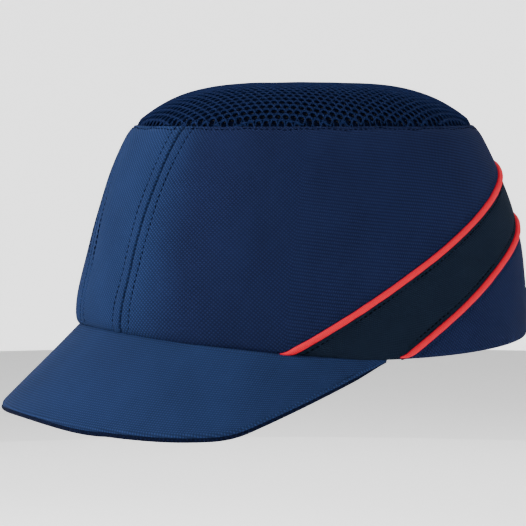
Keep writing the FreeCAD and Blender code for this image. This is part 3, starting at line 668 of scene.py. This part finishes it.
def rear_panel(side, name):
    """Below the band, from the hem and the half-moon opening up to it."""
    start = hem_theta(LOWER_EDGE) + 0.004
    share = ease(150, 0.97)[None, :]
    theta = start + (math.pi - start) * share
    across = ease(48)[:, None]

    def bottom(y, x):
        arc = np.sqrt(np.clip(OPENING_RADIUS ** 2 - x ** 2, 0, None))
        return np.where(y > 0, np.maximum(hem_z(y), arc), hem_z(y))
    low = np.zeros_like(theta)
    for _ in range(8):
        place = wall(theta, low)
        low = bottom(place[..., 1], place[..., 0])
    high = solve_theta_z(theta, edge_line(LOWER_EDGE))
    theta = theta + 0 * across
    z = low + (high - low) * across
    if side < 0:
        theta, z = -theta[:, ::-1], z[:, ::-1]
    panel(name, theta, z, ("lower", "low_back"))


front_panel()
side_panel(1, "left_side_panel")
side_panel(-1, "right_side_panel")
gusset_band()
rear_panel(1, "left_rear_panel")
rear_panel(-1, "right_rear_panel")


# ---- piping and stitching

PIPING_RADIUS = 1.45 * MM


def soft_max(a, b, softness):
    """The larger of two heights, blended where they are close."""
    return (a + b + np.sqrt((a - b) ** 2 + softness ** 2)) / 2


def piping(name, edge):
    start = hem_theta(edge) - 2.0 * MM / HEM_HALF[0]
    around = np.linspace(start, 2 * math.pi - start, 520)
    z = solve_theta_z(around, lambda y: soft_max(edge_line(edge)(y), hem_z(y) + 0.7 * MM, 1.6 * MM))
    base = wall(around, z)
    normal = wall_normal(around, z)
    bump = slack(base) + 0.25 * MM + 0.08 * MM * smooth_noise(base, 31, 14 * MM)
    centre = base + normal * bump[:, None] - normal * edge_roll(base)[:, None] * 0.8
    from_end = np.minimum(around - start, 2 * math.pi - start - around) * HEM_HALF[0]
    taper = np.clip(from_end / (6.5 * MM), 0.12, 1) ** 0.6
    radius = PIPING_RADIUS * (1 + 0.05 * smooth_noise(base, 5, 11 * MM)) * taper
    piece = tube(name + "_cord", centre, radius, 14, normal)
    finished(piece, "cap", RED, "red_piping", name)


def offset_line(theta, z, d):
    """A line moved sideways over the wall by d, with its outward normals."""
    base = wall(theta, z)
    normal = wall_normal(theta, z)
    tangent = np.gradient(base, axis=0)
    moved = base + unit(np.cross(normal, tangent)) * d
    lift = relief(moved) - edge_roll(moved)
    return moved + normal * lift[:, None], normal


def sewing():
    z = np.linspace(1.5 * MM + HEM_FRONT_RISE, TOP_Z - 0.3 * MM, 90)
    for index, d in enumerate((STITCH_GAP, -STITCH_GAP)):
        centre = seam_theta(z)
        turn = np.linalg.norm(wall(centre + 0.01, z) - wall(centre, z), axis=-1) / 0.01
        wobble = 0.35 * MM * np.sin(z / (7 * MM) + index)
        line, normal = offset_line(centre + (d + wobble) / turn, z, 0)
        for side, flip in (("left", 1), ("right", -1)):
            mirror = np.array([flip, 1, 1])
            name = "%s_front_stitches_%d" % (side, index + 1)
            row = stitches(name, line * mirror, normal * mirror, index)
            finished(row, "cap", THREAD, "navy_twill")
    theta = np.linspace(0, 2 * math.pi, 500)
    waver = 0.35 * MM * np.sin(theta * 17) + 0.25 * MM * np.sin(theta * 41)
    line, normal = offset_line(theta, TOP_Z - EDGE_STITCH + waver, 0)
    finished(stitches("crown_stitches", line, normal, 5), "cap", THREAD, "navy_twill")
    for name, edge, d in (("upper", UPPER_EDGE, -BAND_STITCH), ("lower", LOWER_EDGE, BAND_STITCH)):
        start = hem_theta(edge) + 0.03
        around = np.linspace(start, 2 * math.pi - start, 460)
        line, normal = offset_line(around, solve_theta_z(around, edge_line(edge)), d)
        row = stitches(name + "_band_stitches", line, normal, 7, 0.34 * MM)
        finished(row, "cap", BLACK_THREAD, "dark_twill")


piping("upper_piping", UPPER_EDGE)
piping("lower_piping", LOWER_EDGE)
sewing()


# ---- mesh crown

CELL = 3.5 * MM                         # from one hole to the next
HOLE = 1.3 * MM                         # radius


def oval_share(x, y):
    """0 in the middle of the crown and 1 on its seam."""
    cos, sin = np.abs(y / TOP_HALF[0]), np.abs(x / TOP_HALF[1])
    return (cos ** OVAL_POWER + sin ** OVAL_POWER) ** (1 / OVAL_POWER)


def dome_point(x, y):
    """The mesh crown, which dips inside the wall at its seam."""
    round_share = np.sqrt((x / TOP_HALF[1]) ** 2 + (y / TOP_HALF[0]) ** 2)
    share = round_share * 0.3 + oval_share(x, y) * 0.7
    z = TOP_Z + DOME * (1 - share ** DOME_POWER)
    dip = np.clip((share - 0.965) / 0.035, 0, 2)
    return np.stack([x, y, z - 3.2 * MM * dip ** 1.5], -1)


def net_layer(name, hole, lowered, thickness, shift=0.0):
    """A sheet of round-cornered hexagonal holes over the dome."""
    verts, faces, index = [], [], {}
    row_pitch = CELL * math.sqrt(3) / 2

    def vertex(x, y, sink=0.0):
        key = (round(x * 1e6), round(y * 1e6), round(sink * 1e6))
        if key not in index:
            index[key] = len(verts)
            verts.append((x, y, sink))
        return index[key]
    rows = int(TOP_HALF[0] / row_pitch) + 2
    columns = int(TOP_HALF[1] / CELL) + 2
    corner = CELL / math.sqrt(3)
    for r in range(-rows, rows + 1):
        for c in range(-columns, columns + 1):
            cx = (c + 0.5 * (r % 2)) * CELL + shift
            cy = r * row_pitch + shift
            if oval_share(cx, cy) > 1.0:
                continue
            outer, inner, lip = [], [], []
            for k in range(12):
                angle = math.radians(30 * k + 30)
                sin, cos = math.sin(angle), math.cos(angle)
                reach = corner if k % 2 == 0 else CELL / 2
                ring = hole * (1.06 if k % 2 == 0 else 0.97)
                outer.append(vertex(cx + reach * sin, cy + reach * cos))
                lip.append(vertex(cx + ring * 1.18 * sin, cy + ring * 1.18 * cos, 0.1 * MM))
                inner.append(vertex(cx + ring * sin, cy + ring * cos, 0.45 * MM))
            for k in range(12):
                k2 = (k + 1) % 12
                faces.append((outer[k], lip[k], lip[k2], outer[k2]))
                faces.append((lip[k], inner[k], inner[k2], lip[k2]))
    flat = np.array(verts)
    share = np.maximum(oval_share(flat[:, 0], flat[:, 1]), 1e-9)
    flat[:, :2] *= np.minimum(1, 0.99 / share)[:, None]
    points = dome_point(flat[:, 0], flat[:, 1])
    swell = 0.18 * MM * smooth_noise(points, 41, 30 * MM)
    points[:, 2] += swell - flat[:, 2] - lowered
    piece = new_mesh(name, points, faces, flat[:, :2])
    solid = piece.modifiers.new("yarn", "SOLIDIFY")
    solid.thickness = thickness
    solid.offset = -1
    return piece


net = net_layer("mesh_top_net", HOLE, 0.0, 0.5 * MM)
finished(net, "cap", NET, "air_mesh", "mesh_top")
backing = net_layer("mesh_top_backing", HOLE * 0.5, 1.9 * MM, 0.3 * MM, CELL / 2)
finished(backing, "cap", NET_BACK, "air_mesh")


# ---- peak

PEAK_DROP = math.radians(43.8)          # below level
PEAK_HEIGHT = 83.0 * MM                 # arch, square to the way the peak drops
PEAK_HALF = 90.5 * MM
SHOULDER_X, SHOULDER_DROP = 58.0 * MM, 23.6 * MM
PEAK_FAN = 3.7                          # widening per metre of length
PEAK_NEAR, PEAK_FAR = -24 * MM, 140 * MM
PEAK_THICK = 3.2 * MM
PEAK_FRONT_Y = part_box("peak_top_cover")[0].y - 2.0 * MM
PEAK_LIP = 0.9 * MM                     # the under cover stands out this far past the top one
# Its lower edge from the side: three arcs and a straight line between these points.
EDGE_LINE = [(-149.3, -24.4), (-133.0, -27.4), (-100.0, -27.9), (-82.0, -24.6), (-9.0, 0.0)]


def peak_arch(w, along):
    """Cross-section of the peak: w is 0 at the middle, 1 at the shoulder and 2 upright at the side."""
    fan = 1 + PEAK_FAN * along
    shoulder, half = SHOULDER_X * fan, PEAK_HALF * fan
    top_radius = (shoulder ** 2 + SHOULDER_DROP ** 2) / (2 * SHOULDER_DROP)
    lean = shoulder / top_radius
    side_radius = (half - shoulder) / (1 - lean)
    top = PEAK_HEIGHT - top_radius
    side = top + (top_radius - side_radius) * math.sqrt(1 - lean ** 2)
    turn = math.asin(lean)
    a = np.abs(w)
    angle = np.where(a <= 1, turn * a, turn + (math.pi / 2 - turn) * (a - 1))
    x = np.where(a <= 1, top_radius * np.sin(angle), half - side_radius + side_radius * np.sin(angle))
    v = np.where(a <= 1, top + top_radius * np.cos(angle), side + side_radius * np.cos(angle))
    return x * np.sign(w), v


def peak_point(w, along):
    near, far = peak_arch(w, PEAK_NEAR), peak_arch(w, PEAK_FAR)
    share = (along - PEAK_NEAR) / (PEAK_FAR - PEAK_NEAR)
    x = near[0] + (far[0] - near[0]) * share
    v = near[1] + (far[1] - near[1]) * share
    cos, sin = math.cos(PEAK_DROP), math.sin(PEAK_DROP)
    return np.stack([x + 0 * along, -along * cos - v * sin, -along * sin + v * cos], -1)


def peak_limit(w, inside):
    low, high = np.full_like(w, PEAK_NEAR), np.full_like(w, PEAK_FAR)
    for _ in range(40):
        middle = (low + high) / 2
        good = inside(peak_point(w, middle))
        low, high = np.where(good, middle, low), np.where(good, high, middle)
    return (low + high) / 2


def above_hem(p):
    return p[..., 2] > hem_z(p[..., 1])


def sagging(y, start, end, radius):
    """Height at y of an arc that hangs below the chord from start to end."""
    half = math.dist(start, end) / 2
    rise = math.sqrt(radius ** 2 - half ** 2)
    lean = ((start[1] - end[1]) / (2 * half), (end[0] - start[0]) / (2 * half))
    centre = [(start[k] + end[k]) / 2 + lean[k] * rise for k in (0, 1)]
    return centre[1] - np.sqrt(np.clip(radius ** 2 - (y - centre[0]) ** 2, 0, None))


def above_edge(p):
    y = p[..., 1] / MM
    front, knee, bend, rise, end = EDGE_LINE
    edge = sagging(y, front, knee, 30.0)
    edge = np.where(y > knee[0], sagging(y, knee, bend, 300.0), edge)
    edge = np.where(y > bend[0], sagging(y, bend, rise, 60.0), edge)
    slope = (end[1] - rise[1]) / (end[0] - rise[0])
    edge = np.where(y > rise[0], rise[1] + slope * (y - rise[0]), edge)
    return (p[..., 2] > edge * MM) & (p[..., 1] > PEAK_FRONT_Y)


def peak_frame():
    """Columns of the peak, where each starts and ends, and its edge's directions."""
    def spent(w):
        w = np.array([w])
        return 0.8 * MM - float((peak_limit(w, above_edge) - peak_limit(w, above_hem))[0])
    end = theta_where(spent, 1.0, 1.9)
    w = np.sin(np.linspace(-1.25, 1.25, 240)) / math.sin(1.25) * end
    w = np.where(np.abs(w) < 1e-6, 1e-6, w)
    start, stop = peak_limit(w, above_hem), peak_limit(w, above_edge)
    edge = peak_point(w, stop)
    tangent = unit(np.gradient(edge, axis=0))
    step = 1e-3
    around = peak_point(w + step, stop) - peak_point(w - step, stop)
    down = peak_point(w, stop + step) - peak_point(w, stop - step)
    normal = unit(np.cross(down, around))
    normal = normal * np.sign(normal[:, 2:3])
    out = np.cross(tangent, normal)
    out *= np.sign((out * down).sum(-1, keepdims=True))
    thick = PEAK_THICK * np.clip((stop - start) / (9 * MM), 0.25, 1)
    return w, start, stop, normal, out, thick


def peak_cover(name, node, upper):
    w, start, stop, normal, out, thick = peak_frame()
    half = (thick / 2)[:, None]
    side = 1 if upper else -1
    sunk = normal * (0.0 if upper else 1.0) * thick[:, None]
    thin = (thick / PEAK_THICK)[:, None]
    hem = peak_point(w, start) - sunk
    inwards = unit(np.stack([-hem[:, 0] / HEM_HALF[1] ** 2, -hem[:, 1] / HEM_HALF[0] ** 2, 0 * w], -1))
    rows = []
    for depth in (6.0 * MM, 3.5 * MM, 1.6 * MM):
        rows.append(hem + (inwards + np.array([0, 0, 0.25])) * depth * thin)
    for share in np.linspace(0, 1, 44):
        point = peak_point(w, start + (stop - start) * share) - sunk
        ripple = 0.12 * MM * smooth_noise(point, 51, 34 * MM) * (1 - share ** 8)
        rows.append(point + normal * ripple[:, None] * side - out * half * share ** 6)
    centre = peak_point(w, stop) - (normal + out) * half
    lip = 0.0 if upper else PEAK_LIP * thin
    for angle in np.linspace(0.2, math.radians(62 if upper else 112), 9):
        rows.append(centre + half * side * math.cos(angle) * normal + (half + lip) * math.sin(angle) * out)
    if not upper:
        rows.append(centre + half * 0.9 * (0.5 * normal + 0.87 * out))
    points = np.array(rows) if upper else np.array(rows)[:, ::-1]
    piece = cloth_sheet(name, points, thickness=0.55 * MM)
    # The under cover takes the darker navy copy, which is painted shade.
    finished(piece, "cap", NAVY_PEAK if upper else NAVY_UNDER_PAINTED_SHADE, "navy_twill", node)


peak_cover("peak_top_cloth", "peak_top_cover", True)
peak_cover("peak_under_cloth", "peak_under_cover", False)


# ---- inside of the crown

def inner_strip(name, theta, low, high, depth, thick, material, slot, node, bulge=0.0):
    """A flat band behind the wall, between two heights, with rounded edges and a soft face."""
    rings = []
    for t, z0, z1 in zip(theta, low, high):
        ring = [(z0 + (z1 - z0) * share, depth) for share in np.linspace(0, 1, 10)]
        for share in np.linspace(1, 0, 10):
            puff = bulge * (1 - (2 * share - 1) ** 4)
            round_off = 0.25 * thick * (2 * share - 1) ** 8
            ring.append((z0 + (z1 - z0) * share, depth + thick + puff - round_off))
        ring = np.array(ring)
        turn = np.full(len(ring), t)
        base = wall(turn, ring[:, 0])
        rings.append(base - wall_normal(turn, ring[:, 0]) * ring[:, 1][:, None])
    return finished(closed_strip(name, rings), "cap", material, slot, node)


def hem_at(theta, lift):
    return solve_theta_z(theta, hem_z) + lift


def lining():
    rear = math.radians(39)
    theta = np.linspace(-math.pi + rear, math.pi - rear, 260)
    band = inner_strip("sweatband_cloth", theta, hem_at(theta, 1 * MM), hem_at(theta, 32 * MM), 5.5 * MM,
                       1.3 * MM, TERRY, "sweatband_terry", "sweatband", bulge=0.5 * MM)
    side = math.radians(88)
    theta = np.linspace(-side, side, 180)
    foam = inner_strip("sweatband_foam_pad", theta, hem_at(theta, 2 * MM), hem_at(theta, 29 * MM), 2.0 * MM,
                       3.2 * MM, FOAM, "band_foam", "sweatband_foam")
    opening = math.radians(37)
    theta = np.linspace(-math.pi + opening, math.pi - opening, 220)
    inner_strip("hem_tape_cloth", theta, hem_at(theta, 0.8 * MM), hem_at(theta, 12 * MM), 1.25 * MM, 0.5 * MM,
                TAPE, "binding_tape", "hem_tape")
    theta = np.linspace(-math.pi, math.pi, 240)
    top = np.full_like(theta, TOP_Z - 1.0 * MM)
    inner_strip("crown_tape_cloth", theta, top - 8.5 * MM, top, 1.25 * MM, 0.5 * MM,
                TAPE, "binding_tape", "crown_seam_tape")


lining()


def seam_tape(side, name):
    z = np.linspace(HEM_FRONT_RISE + 13 * MM, TOP_Z - 9.5 * MM, 60)
    half = 4.5 * MM / HEM_HALF[0]
    rings = []
    for theta, height in zip(seam_theta(z), z):
        turn = np.concatenate([np.linspace(-half, half, 5), np.linspace(half, -half, 5)]) + theta
        depth = np.concatenate([np.full(5, 1.25 * MM), np.full(5, 1.75 * MM)])
        level = np.full(10, height)
        ring = wall(turn, level) - wall_normal(turn, level) * depth[:, None]
        rings.append(ring * np.array([side, 1, 1]))
    finished(closed_strip(name + "_cloth", rings), "cap", TAPE, "binding_tape", name)


seam_tape(1, "left_front_seam_tape")
seam_tape(-1, "right_front_seam_tape")


def opening_binding():
    """Folded tape round the half-moon opening."""
    angle = np.linspace(0.075, math.pi - 0.075, 90)
    radius = OPENING_RADIUS - 1.1 * MM
    x, z = radius * np.cos(angle), radius * np.sin(angle)
    theta = math.pi - np.arcsin(np.clip(x / HEM_HALF[1], -1, 1))
    for _ in range(8):
        theta = theta + (wall(theta, z)[:, 0] - x) / HEM_HALF[1]
    normal = wall_normal(theta, z)
    centre = wall(theta, z) - normal * 0.6 * MM
    side = np.cross(unit(np.gradient(centre, axis=0)), normal)
    rings = []
    for p, n, s in zip(centre, normal, side):
        ring = []
        for a in np.linspace(0.1, 2 * math.pi + 0.1, 14, endpoint=False):
            across = math.copysign(abs(math.cos(a)) ** 0.6, math.cos(a))
            ring.append(p + s * 2.3 * MM * across + n * 1.15 * MM * math.sin(a))
        rings.append(ring)
    tape = closed_strip("rear_opening_binding_cloth", rings)
    finished(tape, "cap", TAPE, "binding_tape", "rear_opening_binding")


opening_binding()


def blank_label():
    low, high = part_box("care_label")
    yy, zz = np.meshgrid(np.linspace(low.y, high.y, 30), np.linspace(low.z, high.z, 16))
    theta = -np.arccos(np.clip(-yy / HEM_HALF[0], -1, 1))
    for _ in range(8):
        theta = theta - (wall(theta, zz)[..., 1] - yy) / HEM_HALF[0]
    depth = 1.9 * MM + 0.3 * MM * np.sin(yy / (3 * MM))
    points = wall(theta, zz) - wall_normal(theta, zz) * depth[..., None]
    piece = cloth_sheet("care_label_cloth", points, thickness=0.25 * MM)
    finished(piece, "cap", LABEL, "label_satin", "care_label")


blank_label()


# ---- shell and pads

SHELL_HALF = (98.0 * MM, 83.6 * MM)
SHELL_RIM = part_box("shell")[0].z
SHELL_HEIGHT = 94.0 * MM
SHELL_THICK = 2.0 * MM
SHELL_POWER = 2.8
PAD_THICK = 5.0 * MM


def shell_point(theta, z, inset):
    share = np.clip((z - SHELL_RIM) / (SHELL_HEIGHT - inset), 0, 0.999)
    scale = (1 - share ** SHELL_POWER) ** (1 / SHELL_POWER)
    cos, sin = np.cos(theta), np.sin(theta)
    k = oval_reach(cos, sin)
    reach_y, reach_x = SHELL_HALF[0] * scale - inset, SHELL_HALF[1] * scale - inset
    return np.stack([reach_x * k * sin, -reach_y * k * cos, z + 0 * k], -1)


def pad_grid(columns, rows, thinning):
    """Shares of -1 to 1 across and along a pad, and of its thickness, which thins at the edges."""
    uu, vv = np.meshgrid(np.linspace(-1, 1, columns), np.linspace(-1, 1, rows))
    edge = np.maximum(np.abs(uu), np.abs(vv))
    return uu, vv, 1 - thinning * np.clip((edge - 0.86) / 0.14, 0, 1) ** 2.5


def wall_pad(name, theta0, half_angle):
    low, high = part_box(name)
    uu, vv, plump = pad_grid(34, 26, 0.75)
    squeeze = (1 - 0.16 * np.abs(vv) ** 6, 1 - 0.16 * np.abs(uu) ** 6)
    theta = theta0 + half_angle * uu * squeeze[0]
    z = (low.z + high.z) / 2 + (high.z - low.z) / 2 * vv * squeeze[1]
    back = shell_point(theta, z, SHELL_THICK + 0.2 * MM)
    inwards = shell_point(theta, z, SHELL_THICK + PAD_THICK) - shell_point(theta, z, SHELL_THICK)
    close_pad(name, back, back + inwards * plump[..., None])


def crown_pad():
    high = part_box("crown_pad")[1]
    uu, vv, plump = pad_grid(40, 52, 0.7)
    x = high.x * uu * (1 - 0.13 * np.abs(vv) ** 5)
    y = high.y * vv * (1 - 0.13 * np.abs(uu) ** 5)
    tall = SHELL_HEIGHT - SHELL_THICK
    out = np.sqrt((x / (SHELL_HALF[1] - SHELL_THICK)) ** 2 + (y / (SHELL_HALF[0] - SHELL_THICK)) ** 2)
    top = SHELL_RIM + tall * (1 - out ** SHELL_POWER) ** (1 / SHELL_POWER)
    top = np.minimum(top, high.z)
    back = np.stack([x, y, top], -1)
    close_pad("crown_pad", back, back - np.array([0, 0, PAD_THICK]) * plump[..., None])


def close_pad(name, back, face):
    """Foam between two grids of points, closed along their edges."""
    rows, columns = back.shape[:2]
    count = rows * columns
    front = grid_faces(rows, columns)
    rim = (list(range(columns)) + [r * columns + columns - 1 for r in range(1, rows)]
           + [(rows - 1) * columns + c for c in range(columns - 2, -1, -1)]
           + [r * columns for r in range(rows - 2, 0, -1)])
    sides = [(a, b, b + count, a + count) for a, b in zip(rim, rim[1:] + rim[:1])]
    verts = np.concatenate([back.reshape(-1, 3), face.reshape(-1, 3)])
    faces = [tuple(reversed(f)) for f in front] + [tuple(count + v for v in f) for f in front] + sides
    piece = outward(new_mesh(name + "_foam", verts, faces))
    finished(piece, "insert", FOAM, "pad_foam", name)


wall_pad("front_pad", 0.0, 0.47)
wall_pad("rear_pad", math.pi, 0.47)
wall_pad("left_pad", math.pi / 2, 0.40)
wall_pad("right_pad", -math.pi / 2, 0.40)
crown_pad()


# ---- strap and buckle

STRAP_AXIS_Y = 21.0 * MM                # the vertical axis that the strap slides round


def strap_ring(angle, low, high, inner, outer):
    """Cross-section of webbing, thinner at its edges, at an angle from the rear centre."""
    out = np.array([math.sin(angle), math.cos(angle), 0])
    ring = []
    for side, shares in ((1, np.linspace(0, 1, 9)), (-1, np.linspace(1, 0, 9))):
        for share in shares:
            edge = 1 - 0.35 * abs(2 * share - 1) ** 6
            reach = inner + (outer - inner) * (0.5 + 0.5 * side * edge)
            ring.append(out * reach + np.array([0, STRAP_AXIS_Y, low + (high - low) * share]))
    return ring


def webbing(name, node, body, start, end, inner, outer, material=WEBBING, slot="webbing"):
    """A flat tape on an arc from start to end, in degrees to the left of the rear centre."""
    low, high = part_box(node)
    angles = np.radians(np.linspace(start, end, max(int(abs(end - start) * 1.5), 8)))
    rings = [strap_ring(a, low.z, high.z, inner, outer) for a in angles]
    finished(closed_strip(name, rings), body, material, slot, node)


webbing("strap_webbing", "strap", "strap", -56, 52, 82.9 * MM, 83.8 * MM)
webbing("strap_tip_cap", "strap_tip", "strap", 52, 56, 82.75 * MM, 83.95 * MM, PLASTIC, "buckle_plastic")
webbing("buckle_tab_webbing", "buckle_tab", "cap", 31, 46, 84.2 * MM, 85.2 * MM)

for name, material in (("shell", SHELL), ("buckle_frame", PLASTIC), ("buckle_lever", PLASTIC),
                       ("lever_pin", STEEL), ("peak_board", BOARD)):
    node = frame["nodes"][name]
    node.data.materials.clear()
    node.data.materials.append(material)


# ---- stage, lights and camera

FLOOR_Z = CAD_BOX[0].z - 0.22
TARGET = Vector((0, 0, 52 * MM))
CAMERA_AZIMUTH, CAMERA_ELEVATION, CAMERA_DISTANCE = 60.0, 3.3, 1.038
CAMERA_ASIDE, CAMERA_BELOW = 20.3 * MM, 14.6 * MM   # where it aims, beside and below the target
LENS, SENSOR = 147.1, 36.0              # millimetres


def backdrop():
    """One pale sheet: floor, a round bend and a wall, all the way round."""
    flat, bend, height, sides = 2.2, 1.2, 5.0, 72
    arc = np.linspace(0.1, math.pi / 2, 12)
    profile = [(flat, 0.0), *((flat + bend * math.sin(a), bend - bend * math.cos(a)) for a in arc),
               (flat + bend, height)]
    turns = np.linspace(0, 2 * math.pi, sides, endpoint=False)
    verts = [(r * math.cos(a), r * math.sin(a), FLOOR_Z + z) for r, z in profile for a in turns]
    verts.append((0, 0, FLOOR_Z))
    faces = grid_faces(len(profile), sides, wrap_columns=True)
    faces += [(len(verts) - 1, j, (j + 1) % sides) for j in range(sides)]
    sheet = new_mesh("pale_backdrop", verts, faces)
    material, _, shader = new_material("pale_paper")
    shader.inputs["Base Color"].default_value = (0.9, 0.9, 0.9, 1)
    shader.inputs["Roughness"].default_value = 0.9
    shader.inputs["Emission Color"].default_value = (1, 1, 1, 1)
    shader.inputs["Emission Strength"].default_value = 0.65
    sheet.data.materials.append(material)


def direction(azimuth, elevation):
    a, e = math.radians(azimuth), math.radians(elevation)
    return Vector((math.sin(a) * math.cos(e), -math.cos(a) * math.cos(e), math.sin(e)))


def area_light(name, azimuth, elevation, distance, size, power):
    """A round soft light: degrees, metres and watts."""
    data = bpy.data.lights.new(name, "AREA")
    data.shape = "DISK"
    data.size = size
    data.energy = power
    lamp = in_scene(name, data)
    back = direction(azimuth, elevation)
    lamp.location = TARGET + back * distance
    lamp.rotation_mode = "QUATERNION"
    lamp.rotation_quaternion = back.to_track_quat("Z", "Y")


def camera():
    back = direction(CAMERA_AZIMUTH, CAMERA_ELEVATION)
    side = Vector((0, 0, 1)).cross(back).normalized()
    up = back.cross(side)
    aim = TARGET - side * CAMERA_ASIDE - up * CAMERA_BELOW
    data = bpy.data.cameras.new("camera")
    data.lens = LENS
    data.sensor_width = SENSOR
    data.clip_start = 0.01
    data.clip_end = 50
    cam = in_scene("camera", data)
    place = TARGET + back * CAMERA_DISTANCE
    cam.location = place
    cam.rotation_mode = "QUATERNION"
    cam.rotation_quaternion = (aim - place).to_track_quat("-Z", "Y")
    bpy.context.scene.camera = cam


def world():
    studio = bpy.data.worlds.new("studio")
    bpy.context.scene.world = studio
    studio.use_nodes = True
    background = studio.node_tree.nodes["Background"]
    background.inputs["Color"].default_value = (1, 1, 1, 1)
    background.inputs["Strength"].default_value = 0.8


backdrop()
area_light("key", -18, 35, 1.6, 0.8, 47)
area_light("fill", 95, 30, 1.8, 1.2, 3)
area_light("top", 120, 75, 1.8, 1.0, 6)
camera()
world()
